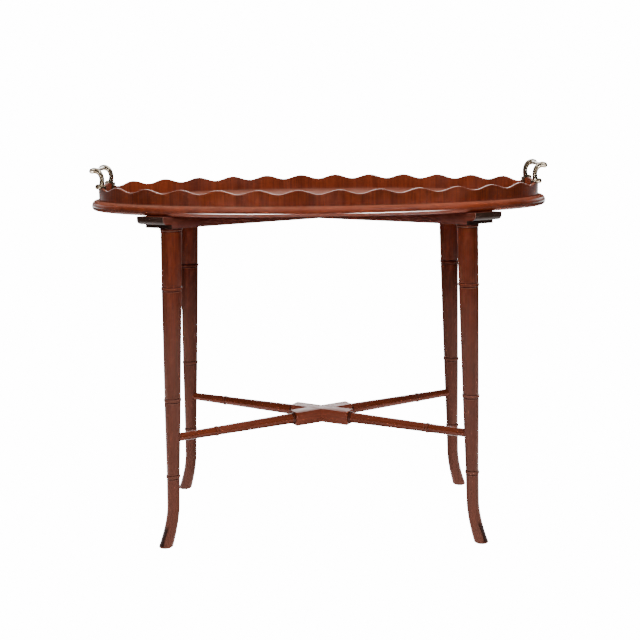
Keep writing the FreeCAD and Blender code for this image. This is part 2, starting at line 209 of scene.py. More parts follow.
def crisp_edges(verts: list, limit: float = CRISP_ANGLE) -> list:
    """Give the edges among some vertices that are sharper than a limit in degrees."""
    edges, least = {edge for vert in verts for edge in vert.link_edges}, math.radians(limit)
    return [edge for edge in edges if edge.is_manifold and edge.calc_face_angle(0.0) > least]


def soft_bar(bm: Mesh, low: Vector, high: Vector, arris: float) -> list:
    """Make a block with rounded edges.

    Args:
        bm: The mesh.
        low: Its lowest corner.
        high: Its highest corner.
        arris: How far the rounding of its edges reaches.

    Returns:
        The block's vertices.
    """
    before = set(bm.verts)
    soften(bm, crisp_edges(bar(bm, low, high)), arris, ARRIS_FACETS)
    return [vert for vert in bm.verts if vert not in before]


def trim(bm: Mesh, verts: list, place: Vector, normal: Vector) -> list:
    """Cut a closed shape by a plane, drop what lies beyond it and close the cut.

    Args:
        bm: The mesh.
        verts: The shape's vertices.
        place: A point of the plane.
        normal: The side that is dropped.

    Returns:
        The vertices that are left.
    """
    others = set(bm.verts) - set(verts)
    edges = list({edge for vert in verts for edge in vert.link_edges})
    faces = list({face for vert in verts for face in vert.link_faces})
    cut = bmesh.ops.bisect_plane(bm, geom=verts + edges + faces, plane_co=place, plane_no=normal,
                                 clear_outer=True)
    fresh = [item for item in cut["geom_cut"] if isinstance(item, bmesh.types.BMEdge)]
    bmesh.ops.contextual_create(bm, geom=fresh)
    return [vert for vert in bm.verts if vert not in others]


def halved_bar(bm: Mesh, low: Vector, high: Vector, lap: Band, other: float, arris: float) -> list:
    """Make a bar along X that is halved where a bar like it crosses.

    Args:
        bm: The mesh.
        low: The bar's lowest corner.
        high: Its highest corner.
        lap: The heights between which it goes on through the crossing.
        other: The other bar's angle to this one, in degrees.
        arris: How far the rounding of its edges reaches.

    Returns:
        The bar's vertices.
    """
    others = set(bm.verts)
    normal = Vector((abs(math.sin(math.radians(other))), -math.cos(math.radians(other)), 0.0))
    if math.sin(math.radians(other)) < 0:
        normal.y = -normal.y
    half = normal * high.y
    trim(bm, soft_bar(bm, low, high, arris), half, -normal)
    trim(bm, soft_bar(bm, low, high, arris), -half, normal)
    middle = soft_bar(bm, Vector((low.x, low.y, lap[0])), Vector((high.x, high.y, lap[1])), arris)
    trim(bm, trim(bm, middle, half, normal), -half, -normal)
    return [vert for vert in bm.verts if vert not in others]


def link(name: str, data: bpy.types.ID) -> bpy.types.Object:
    """Put a mesh, lamp or camera into the scene.

    Args:
        name: The object's name.
        data: What it holds.

    Returns:
        The object.
    """
    obj = bpy.data.objects.new(name, data)
    bpy.context.scene.collection.objects.link(obj)
    return obj


@dataclass
class Piece:
    """One finished piece, from its mesh to its body; it holds a slot that nothing reads."""

    name: str
    body: Body
    slot: Slot
    material: Material
    nodes: tuple[str, ...]
    crease: float

    def make(self, bm: Mesh) -> None:
        """Turn the mesh into an object, dress it and let it ride.

        Args:
            bm: The finished mesh. It is freed here.
        """
        bmesh.ops.recalc_face_normals(bm, faces=bm.faces[:])
        for face in bm.faces:
            face.smooth = True
        mesh = bpy.data.meshes.new(self.name)
        bm.to_mesh(mesh)
        bm.free()
        mesh.set_sharp_from_angle(angle=math.radians(self.crease))
        mesh.materials.append(self.material)
        obj = link(self.name, mesh)
        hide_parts(*self.nodes)
        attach(obj, self.body.value)
        logger.info("made %s with %d faces", self.name, len(mesh.polygons))


# Node helpers


class Tree:
    """A short way to place and join the nodes of one material or group."""

    def __init__(self, tree: bpy.types.NodeTree) -> None:
        """Keep the tree and clear it."""
        self.tree = tree
        tree.nodes.clear()

    def add(self, kind: str, settings: dict | None = None, **inputs: object) -> bpy.types.Node:
        """Place a node.

        Args:
            kind: The node's type, without its ShaderNode prefix.
            settings: Properties to set on the node.
            **inputs: Values or sockets for its inputs, with underscores for spaces.

        Returns:
            The node.
        """
        node = self.tree.nodes.new("ShaderNode" + kind)
        for key, value in (settings or {}).items():
            setattr(node, key, value)
        for key, value in inputs.items():
            self.feed(node.inputs[key.replace("_", " ")], value)
        return node

    def feed(self, socket: Socket, value: object) -> None:
        """Join a socket to an input, or set the input's value.

        Args:
            socket: The input.
            value: A socket, a number, a vector or a colour.
        """
        if isinstance(value, Socket):
            self.tree.links.new(value, socket)
        elif isinstance(value, tuple) and socket.type == "RGBA":
            socket.default_value = (*value, 1.0)
        else:
            socket.default_value = value

    def fill(self, node: bpy.types.Node, *values: object) -> Socket:
        """Feed a node's inputs in their order.

        Args:
            node: The node.
            *values: Values or sockets for its first inputs.

        Returns:
            The node's first output.
        """
        for socket, value in zip(node.inputs, values):
            self.feed(socket, value)
        return node.outputs[0]

    def math(self, operation: str, first: object, second: object = 0.0) -> Socket:
        """Place a Math node and give its result."""
        return self.fill(self.add("Math", {"operation": operation}), first, second)

    def times(self, *values: object) -> Socket:
        """Give the product of sockets and numbers."""
        return reduce(lambda first, second: self.math("MULTIPLY", first, second), values)

    def plus(self, *values: object) -> Socket:
        """Give the sum of sockets and numbers."""
        return reduce(lambda first, second: self.math("ADD", first, second), values)

    def noise(self, vector: object, scale: float, detail: float, roughness: float) -> Socket:
        """Place a Noise Texture and give its value."""
        node = self.add("TexNoise", Vector=vector, Scale=scale, Detail=detail, Roughness=roughness)
        return node.outputs["Fac"]

    def stretch(self, vector: object, scale: tuple[float, ...]) -> Socket:
        """Scale a vector along its axes."""
        return self.add("Mapping", Vector=vector, Scale=scale).outputs[0]

    def turn_back(self, vector: object, degrees: float) -> Socket:
        """Turn a vector back about Z by an angle in degrees."""
        angle = (0.0, 0.0, math.radians(degrees))
        return self.add("Mapping", {"vector_type": "TEXTURE"}, Vector=vector, Rotation=angle).outputs[0]

    def band(self, value: object, low: float, high: float, start: float = 0.0,
             end: float = 1.0) -> Socket:
        """Give a value that goes smoothly from start to end while another goes from low to high."""
        node = self.add("MapRange", {"interpolation_type": "SMOOTHSTEP"})
        return self.fill(node, value, low, high, start, end)

    def mix(self, share: object, first: object, second: object) -> Socket:
        """Mix two colours.

        Args:
            share: How much of the second one there is.
            first: The first colour or socket.
            second: The second one.

        Returns:
            The mixed colour.
        """
        node = self.add("Mix", {"data_type": "RGBA"})
        colours = [socket for socket in node.inputs if socket.type == "RGBA"]
        for socket, value in zip((node.inputs[0], *colours), (share, first, second)):
            self.feed(socket, value)
        return next(socket for socket in node.outputs if socket.type == "RGBA")

    def place(self) -> Socket:
        """Give the Object coordinates."""
        return self.add("TexCoord").outputs["Object"]

    def axes(self, vector: object) -> bpy.types.NodeOutputs:
        """Give a vector's X, Y and Z."""
        return self.add("SeparateXYZ", Vector=vector).outputs

    def length(self, vector: object) -> Socket:
        """Give a vector's length."""
        return self.add("VectorMath", {"operation": "LENGTH"}, Vector=vector).outputs["Value"]

    def mark(self, name: str) -> Socket:
        """Give a mark that the mesh holds."""
        return self.add("Attribute", {"attribute_name": name}).outputs["Fac"]

    def group(self, tree: bpy.types.NodeTree, vector: object) -> bpy.types.NodeOutputs:
        """Place a node group, feed its vector and give its outputs."""
        return self.add("Group", {"node_tree": tree}, Vector=vector).outputs

    def bump(self, shader: bpy.types.Node, height: Socket, strength: float, rise: float) -> None:
        """Raise a shader's surface by a height, with a strength and its rise in metres."""
        bump = self.add("Bump", Strength=strength, Distance=rise, Height=height)
        self.feed(shader.inputs["Normal"], bump.outputs["Normal"])


def new_group(name: str, outputs: tuple[str, ...]) -> tuple[Tree, Socket, bpy.types.Node]:
    """Make an empty node group that takes a vector and gives values.

    Args:
        name: The group's name.
        outputs: The names of its values.

    Returns:
        The tree, the vector, and the node that takes the values.
    """
    group = bpy.data.node_groups.new(name, "ShaderNodeTree")
    group.interface.new_socket("Vector", in_out="INPUT", socket_type="NodeSocketVector")
    for output in outputs:
        group.interface.new_socket(output, in_out="OUTPUT", socket_type="NodeSocketFloat")
    tree = Tree(group)
    vector = group.nodes.new("NodeGroupInput").outputs["Vector"]
    return tree, vector, group.nodes.new("NodeGroupOutput")


# Node groups that several finishes share


@dataclass(frozen=True)
class Strand:
    """One noise of the grain, with its scale along and across the wood."""

    along: float
    across: float
    detail: float
    roughness: float

    def value(self, tree: Tree, vector: Socket) -> Socket:
        """Give the noise at a vector that has the grain along X."""
        drawn = tree.stretch(vector, (self.along, self.across, self.across))
        return tree.noise(drawn, 1.0, self.detail, self.roughness)


@dataclass(frozen=True)
class MahoganyGrain:
    """The grain: soft broad figure, fine streaks, ribbons and short dark pores."""

    broad: Strand = Strand(2.5, 26.0, 3.0, 0.6)
    streak: Strand = Strand(9.0, 330.0, 4.0, 0.62)
    ribbon: Strand = Strand(30.0, 70.0, 2.0, 0.5)
    pore: Strand = Strand(60.0, 1400.0, 2.0, 0.5)
    broad_share: float = 0.5
    streak_share: float = 0.32
    ribbon_share: float = 0.18
    figure_band: Band = (0.32, 0.68)
    pore_band: Band = (0.60, 0.72)

    def group(self) -> bpy.types.NodeTree:
        """Build the node group.

        Returns:
            A group that takes a vector with the grain along X and gives Figure, Pores and Height.
        """
        tree, vector, sink = new_group("mahogany_grain", ("Figure", "Pores", "Height"))
        broad, streak, ribbon, pore = (strand.value(tree, vector) for strand in
                                       (self.broad, self.streak, self.ribbon, self.pore))
        pores = tree.band(pore, *self.pore_band)
        figure = tree.plus(tree.times(broad, self.broad_share), tree.times(streak, self.streak_share),
                           tree.times(ribbon, self.ribbon_share))
        tree.feed(sink.inputs["Figure"], tree.band(figure, *self.figure_band))
        tree.feed(sink.inputs["Pores"], pores)
        tree.feed(sink.inputs["Height"], tree.math("SUBTRACT", streak, pores))
        return tree.tree


@dataclass(frozen=True)
class HandlingWear:
    """The polish's uneven life: cloudy dulled patches and fine specks."""

    cloud_scale: float = 14.0
    cloud_detail: float = 4.0
    cloud_roughness: float = 0.6
    cloud_band: Band = (0.42, 0.66)
    speck_scale: float = 900.0
    speck_detail: float = 2.0
    speck_roughness: float = 0.7
    speck_band: Band = (0.60, 0.70)

    def group(self) -> bpy.types.NodeTree:
        """Build the node group.

        Returns:
            A group that takes a vector and gives Cloud and Specks.
        """
        tree, vector, sink = new_group("handling_wear", ("Cloud", "Specks"))
        cloud = tree.noise(vector, self.cloud_scale, self.cloud_detail, self.cloud_roughness)
        fine = tree.noise(vector, self.speck_scale, self.speck_detail, self.speck_roughness)
        tree.feed(sink.inputs["Cloud"], tree.band(cloud, *self.cloud_band))
        tree.feed(sink.inputs["Specks"], tree.band(fine, *self.speck_band))
        return tree.tree


@dataclass(frozen=True)
class SharedEffects:
    """The node groups that more than one finish uses."""

    grain: bpy.types.NodeTree
    wear: bpy.types.NodeTree

    @staticmethod
    def build() -> "SharedEffects":
        """Build both groups once."""
        return SharedEffects(MahoganyGrain().group(), HandlingWear().group())


def new_material(name: str) -> tuple[Material, Tree, bpy.types.Node]:
    """Make a material with one shader.

    Args:
        name: The material's name.

    Returns:
        The material, its tree and its shader node.
    """
    material = bpy.data.materials.new(name)
    material.use_nodes = True
    tree = Tree(material.node_tree)
    shader = tree.add("BsdfPrincipled")
    tree.feed(tree.add("OutputMaterial").inputs["Surface"], shader.outputs["BSDF"])
    return material, tree, shader


class GrainRun(Enum):
    """Which way the grain runs through a piece."""

    LENGTHWISE = "x"
    UPRIGHT = "z"


@dataclass(frozen=True)
class DustAndSheenBand:
    """Pale dust together with a painted sheen, between two heights on a level ledge or low on an
    upright face, stronger towards the left.
    """

    bare: float
    full: float
    # The pale colour stands for dust and a painted sheen together
    colour: Colour = (0.30, 0.155, 0.105)
    roughness: float = 0.9
    dull_from: float = 0.12
    patch_scale: float = 42.0
    patch_detail: float = 5.0
    patch_roughness: float = 0.70
    patch_band: Band = (0.30, 0.66)
    patch_least: float = 0.5
    # Stronger towards the left, as part of the painted sheen
    towards_left: Band = (0.25, -0.25)
    towards_left_least: float = 0.5
    bare_speck: float = 0.45
    full_speck: float = 0.85

    def mask(self, tree: Tree, place: object, specks: object) -> Socket:
        """Build the mask of the dust and painted sheen.

        Args:
            tree: The material's tree.
            place: The Object coordinates.
            specks: The speck mask.

        Returns:
            The mask, 1 where the dust and painted sheen are strongest.
        """
        axes = tree.axes(place)
        patch = tree.noise(place, self.patch_scale, self.patch_detail, self.patch_roughness)
        return tree.times(tree.band(axes["Z"], self.bare, self.full),
                          tree.band(patch, *self.patch_band, self.patch_least),
                          tree.band(axes["X"], *self.towards_left, self.towards_left_least),
                          tree.band(specks, 0.0, 1.0, self.bare_speck, self.full_speck))


@dataclass(frozen=True)
class ToeReflection:
    """A painted dark reflection: the dark leaf on the outer side of each toe."""

    axis: float = 264.9 * MM
    lean: float = 0.0279
    foot_start: float = FOOT_START
    sweep: float = FOOT_SWEEP
    power: float = SWEEP_POWER
    outer: Band = (5.6 * MM, 7.4 * MM)
    top: Band = (38 * MM, 26 * MM)
    tip: Band = (1.5 * MM, 4 * MM)

    def mask(self, tree: Tree, place: object) -> Socket:
        """Build the mask of the leaf.

        Args:
            tree: The material's tree.
            place: The Object coordinates.

        Returns:
            The mask, 1 on the leaf.
        """
        axes = tree.axes(place)
        spread = tree.length(tree.add("CombineXYZ", X=axes["X"], Y=axes["Y"]).outputs[0])
        swept = tree.math("POWER", tree.band(axes["Z"], self.foot_start, 0.0), self.power)
        middle = tree.plus(tree.math("SUBTRACT", self.axis, tree.times(axes["Z"], self.lean)),
                           tree.times(swept, self.sweep))
        side = tree.band(tree.math("SUBTRACT", spread, middle), *self.outer)
        level = tree.times(tree.band(axes["Z"], *self.top), tree.band(axes["Z"], *self.tip))
        return tree.times(side, level)


@dataclass(frozen=True)
class MahoganyFinish:
    """Polished mahogany with its grain, pale patches, dust, edge wear and lacquer.

    Its painted light: a floor sheen that pales it lower down, shade in grooves and under collars,
    highlights on edges, a sheen with the dust and a dark reflection on the toes.
    """

    name: str
    dark: Colour
    light: Colour
    run: GrainRun = GrainRun.LENGTHWISE
    turn_degrees: float = 0.0
    roughness: float = 0.36
    cloud_roughness: float = 0.12
    specular: float = 0.12
    coat_band: Band | None = None
    coat_fade: float = 0.8 * MM
    coat_roughness: float = 0.05
    coat_ior: float = 2.1
    pore_share: float = 0.45
    pore_depth: float = 0.35
    # The pale colour serves the polish's random cloudy patches and a painted floor sheen that pales the
    # legs lower down
    bloom_and_sheen: Colour = (0.38, 0.20, 0.16)
    bloom_share: float = 0.05
    floor_sheen_band: Band | None = None
    floor_sheen_share: float = 0.31
    # Dust together with a painted sheen on ledges and low on the gallery
    dust_and_sheen: DustAndSheenBand | None = None
    # A painted dark reflection on the outer side of each toe
    toe: ToeReflection | None = None
    # The light colour is a painted highlight on rings, collars and beam corners and the gallery lip's
    # wear; the dark colour is painted shade in grooves and under collars and the painted dark reflection
    # on the toes
    edge_highlight_and_wear: Colour = (0.62, 0.34, 0.26)
    highlight_and_wear_least: float = 0.5
    painted_dark: Colour = (0.030, 0.009, 0.006)
    end_grain: Colour = (0.050, 0.024, 0.017)
    bump_strength: float = 0.12
    bump_rise: float = 0.2 * MM

    def material(self, effects: SharedEffects) -> Material:
        """Build the material.

        Args:
            effects: The shared node groups.

        Returns:
            The material.
        """
        material, tree, shader = new_material(self.name)
        place = tree.place()
        grain = tree.group(effects.grain, self.along(tree, place))
        wear = tree.group(effects.wear, place)
        colour = tree.mix(grain["Figure"], self.dark, self.light)
        pore = tuple(part * self.pore_depth for part in self.dark)
        colour = tree.mix(tree.times(grain["Pores"], self.pore_share), colour, pore)
        pale = tree.times(wear["Cloud"], self.bloom_share)
        # Painted floor sheen: the colour pales lower down
        if self.floor_sheen_band:
            height = tree.axes(place)["Z"]
            pale = tree.plus(pale, tree.band(height, *self.floor_sheen_band, 0.0, self.floor_sheen_share))
        # Painted shade in grooves and painted highlights on edges, from the mesh's marks
        colour = self.paint_edge_marks(tree, wear["Specks"], tree.mix(pale, colour, self.bloom_and_sheen))
        # Painted dark reflection on the outer side of each toe
        if self.toe:
            colour = tree.mix(self.toe.mask(tree, place), colour, self.painted_dark)
        rough = tree.band(wear["Cloud"], 0.0, 1.0, self.roughness,
                          self.roughness + self.cloud_roughness)
        # Dust together with a painted sheen: paler and rougher
        if self.dust_and_sheen:
            dust_and_sheen_mask = self.dust_and_sheen.mask(tree, place, wear["Specks"])
            colour = tree.mix(dust_and_sheen_mask, colour, self.dust_and_sheen.colour)
            dull = tree.band(dust_and_sheen_mask, 0.0, self.dust_and_sheen.dull_from, 0.0, self.dust_and_sheen.roughness)
            rough = tree.math("MAXIMUM", rough, dull)
        tree.feed(shader.inputs["Base Color"], colour)
        tree.feed(shader.inputs["Roughness"], rough)
        shader.inputs["Specular IOR Level"].default_value = self.specular
        if self.coat_band:
            height = tree.axes(place)["Z"]
            low, high = self.coat_band
            coat = tree.times(tree.band(height, low, low + self.coat_fade),
                              tree.band(height, high, high - self.coat_fade))
            tree.feed(shader.inputs["Coat Weight"], coat)
            shader.inputs["Coat Roughness"].default_value = self.coat_roughness
            shader.inputs["Coat IOR"].default_value = self.coat_ior
        tree.bump(shader, grain["Height"], self.bump_strength, self.bump_rise)
        return material

    def along(self, tree: Tree, place: Socket) -> Socket:
        """Turn the coordinates so that X runs with the grain.

        Args:
            tree: The material's tree.
            place: The Object coordinates.

        Returns:
            The turned coordinates.
        """
        if self.run is GrainRun.LENGTHWISE:
            return tree.turn_back(place, self.turn_degrees)
        axes = tree.axes(place)
        return tree.add("CombineXYZ", X=axes["Z"], Y=axes["X"], Z=axes["Y"]).outputs[0]

    def paint_edge_marks(self, tree: Tree, specks: object, colour: object) -> Socket:
        """Darken end grain, and paint shade into grooves and highlights onto edges where the mesh
        marks them; the light colour also shows the gallery lip's wear.

        Args:
            tree: The material's tree.
            specks: The speck mask.
            colour: The colour so far.

        Returns:
            The marked colour.
        """
        edge, end = tree.mark(EDGE_SHADE_HIGHLIGHT_WEAR), tree.mark(END_GRAIN_AND_CORNER_HIGHLIGHT)
        colour = tree.mix(tree.band(end, 0.0, CUT_END), colour, self.end_grain)
        # Painted highlight on the beams' rounded upright corners
        colour = tree.mix(tree.band(end, 0.0, PAINTED_CORNER_HIGHLIGHT), colour, self.edge_highlight_and_wear)
        # Painted shade in grooves and under collars
        colour = tree.mix(tree.band(edge, 0.0, PAINTED_SHADE), colour, self.painted_dark)
        # Painted highlights on edges, and the gallery lip's wear
        light = tree.times(tree.band(edge, 0.0, PAINTED_HIGHLIGHT),
                           tree.band(specks, 0.0, 1.0, self.highlight_and_wear_least))
        return tree.mix(light, colour, self.edge_highlight_and_wear)


@dataclass(frozen=True)
class BrassFinish:
    """Aged pale brass with brown tarnish in patches."""

    name: str = "aged_brass"
    bright: Colour = (0.38, 0.32, 0.24)
    tarnish: Colour = (0.07, 0.05, 0.03)
    roughness: Band = (0.22, 0.48)
    patch_scale: float = 170.0
    patch_detail: float = 5.0
    patch_roughness: float = 0.65
    patch_band: Band = (0.38, 0.58)
    speck: Colour = (0.10, 0.08, 0.05)
    speck_share: float = 0.3
    bump_strength: float = 0.25
    bump_rise: float = 0.3 * MM

    def material(self, effects: SharedEffects) -> Material:
        """Build the material.

        Args:
            effects: The shared node groups.

        Returns:
            The material.
        """
        material, tree, shader = new_material(self.name)
        place = tree.place()
        wear = tree.group(effects.wear, place)
        patches = tree.noise(place, self.patch_scale, self.patch_detail, self.patch_roughness)
        mask = tree.band(patches, *self.patch_band)
        colour = tree.mix(mask, self.bright, self.tarnish)
        colour = tree.mix(tree.times(wear["Specks"], self.speck_share), colour, self.speck)
        tree.feed(shader.inputs["Base Color"], colour)
        tree.feed(shader.inputs["Roughness"], tree.band(mask, 0.0, 1.0, *self.roughness))
        shader.inputs["Metallic"].default_value = 1.0
        tree.bump(shader, patches, self.bump_strength, self.bump_rise)
        return material


@dataclass(frozen=True)
class SteelFinish:
    """Dull steel of the lap screws."""

    name: str = "dull_steel"
    colour: Colour = (0.34, 0.33, 0.31)
    stain: Colour = (0.22, 0.17, 0.13)
    roughness: Band = (0.35, 0.55)

    def material(self, effects: SharedEffects) -> Material:
        """Build the material.

        Args:
            effects: The shared node groups.

        Returns:
            The material.
        """
        material, tree, shader = new_material(self.name)
        wear = tree.group(effects.wear, tree.place())
        tree.feed(shader.inputs["Base Color"], tree.mix(wear["Cloud"], self.colour, self.stain))
        tree.feed(shader.inputs["Roughness"], tree.band(wear["Specks"], 0.0, 1.0, *self.roughness))
        shader.inputs["Metallic"].default_value = 1.0
        return material


# Shapes


@dataclass(frozen=True)
class Oval:
    """An oval drawn round the table's centre."""

    half_length: float
    half_width: float
    steps: int = 2000

    def point(self, angle: float, depth: float = 0.0, height: float = 0.0) -> Vector:
        """Give a point at an angle, a depth inside the line.

        Args:
            angle: The oval's own angle.
            depth: How far inside, square to the line.
            height: The height.

        Returns:
            The point.
        """
        c, s = math.cos(angle), math.sin(angle)
        across = Vector((c * self.half_width, s * self.half_length, 0.0)).normalized()
        return Vector((c * self.half_length, s * self.half_width, height)) - across * depth

    def even_angles(self, count: int) -> list[float]:
        """Give angles that stand evenly along the line.

        Args:
            count: How many angles to give.

        Returns:
            The angles, from the right end round towards the back.
        """
        marks = [FULL_TURN * i / self.steps for i in range(self.steps + 1)]
        lengths = [0.0]
        for first, second in zip(marks, marks[1:]):
            lengths.append(lengths[-1] + (self.point(second) - self.point(first)).length)
        angles, i = [], 0
        for k in range(count):
            want = lengths[-1] * k / count
            while lengths[i + 1] < want:
                i += 1
            share = (want - lengths[i]) / (lengths[i + 1] - lengths[i])
            angles.append(marks[i] + (marks[i + 1] - marks[i]) * share)
        return angles


@dataclass
class TrayBoard:
    """The oval board with its moulded edge."""

    material: Material
    half_length: float = BOARD_HALF_LENGTH
    half_width: float = BOARD_HALF_WIDTH
    underside: float = BOARD_UNDERSIDE
    top: float = BOARD_TOP
    upper_reach: float = 7 * MM
    lower_reach: float = 5 * MM
    nose_drop: float = 9 * MM
    columns: int = 288
    curve_steps: int = 9
    crease: float = 50.0

    def levels(self) -> list[tuple[float, float]]:
        """Give the lines round the edge.

        Returns:
            The inset and height of each, from the top face down.
        """
        nose = self.top - self.nose_drop
        turns = [math.pi / 2 * i / self.curve_steps for i in range(self.curve_steps + 1)]
        upper = [(self.upper_reach * (1 - math.sin(t)), self.top - self.nose_drop * (1 - math.cos(t)))
                 for t in turns]
        lower = [(self.lower_reach * (1 - math.cos(t)), nose - (nose - self.underside) * math.sin(t))
                 for t in turns]
        return upper + lower[1:]

    def build(self) -> None:
        """Skin the edge and close the two faces."""
        bm = bmesh.new()
        angles = [FULL_TURN * i / self.columns for i in range(self.columns)]
        rings = []
        for inset, height in self.levels():
            oval = Oval(self.half_length - inset, self.half_width - inset)
            rings.append(ring(bm, self.columns, lambda i: oval.point(angles[i], 0.0, height)))
        skin(bm, rings)
        Piece("finished_board", Body.TRAY, Slot.BOARD, self.material, ("tray_board",),
              self.crease).make(bm)


@dataclass
class Gallery:
    """The thin wall round the tray with its wavy top."""

    material: Material
    half_length: float = 348.5 * MM
    half_width: float = 164.5 * MM
    thickness: float = 5 * MM
    foot: float = BOARD_TOP
    crest: float = 23.5 * MM
    trough: float = 17.2 * MM
    waves: int = 28
    columns_per_wave: int = 20
    lip_radius: float = 1.3 * MM
    lip_steps: int = 4
    lip_wear: float = 0.4
    crease: float = 50.0

    def wave(self, share: float) -> float:
        """Give the top edge's height at a share of the way round."""
        middle, swing = (self.crest + self.trough) / 2, (self.crest - self.trough) / 2
        return self.foot + middle - swing * math.cos(FULL_TURN * self.waves * share)

    def outline(self) -> tuple[Oval, list[float]]:
        """Give the outer face's oval and the angles of its columns."""
        oval = Oval(self.half_length, self.half_width)
        return oval, oval.even_angles(self.waves * self.columns_per_wave)

    def build(self) -> None:
        """Skin the wall from its outer foot over the lip to its inner foot."""
        oval, angles = self.outline()
        count = len(angles)
        bm = bmesh.new()
        layer = bm.verts.layers.float.new(EDGE_SHADE_HIGHLIGHT_WEAR)

        def foot(depth: float) -> list:
            """Make the ring at the wall's foot, a depth inside its outer face."""
            return ring(bm, count, lambda i: oval.point(angles[i], depth, self.foot))

        def top(depth: float, rise: float) -> list:
            """Make a ring along the wave, a depth inside the outer face and a rise above it."""
            return ring(bm, count,
                        lambda i: oval.point(angles[i], depth, self.wave(i / count) + rise))

        turns = [math.pi / 2 * i / self.lip_steps for i in range(self.lip_steps + 1)]
        reach = [(self.lip_radius * (1 - math.cos(t)), self.lip_radius * (math.sin(t) - 1))
                 for t in turns]
        rings = [foot(0.0)]
        rings += [top(depth, rise) for depth, rise in reach]
        rings += [top(self.thickness - depth, rise) for depth, rise in reversed(reach)]
        rings.append(foot(self.thickness))
        skin(bm, rings, closed=True)
        # The lip wears, but not the foot or the two lowest lines of the lip on either side
        for lip in rings[3:-3]:
            for vert in lip:
                vert[layer] = self.lip_wear
        Piece("finished_gallery", Body.TRAY, Slot.GALLERY, self.material,
              ("gallery_back", "gallery_front"), self.crease).make(bm)

    def seat(self, offset: float) -> tuple[Vector, Vector, float]:
        """Give the place on the right end where a handle's arm stands.

        Args:
            offset: How far towards the back it stands.

        Returns:
            The outer face's point at the foot, the outward direction and the top's height there.
        """
        oval, angles = self.outline()
        angle = math.asin(offset / self.half_width)
        outer, inner = (oval.point(angle, depth, self.foot) for depth in (0.0, 1.0))
        nearest = min(range(len(angles)), key=lambda i: abs(angles[i] - (angle % FULL_TURN)))
        return outer, outer - inner, self.wave(nearest / len(angles))


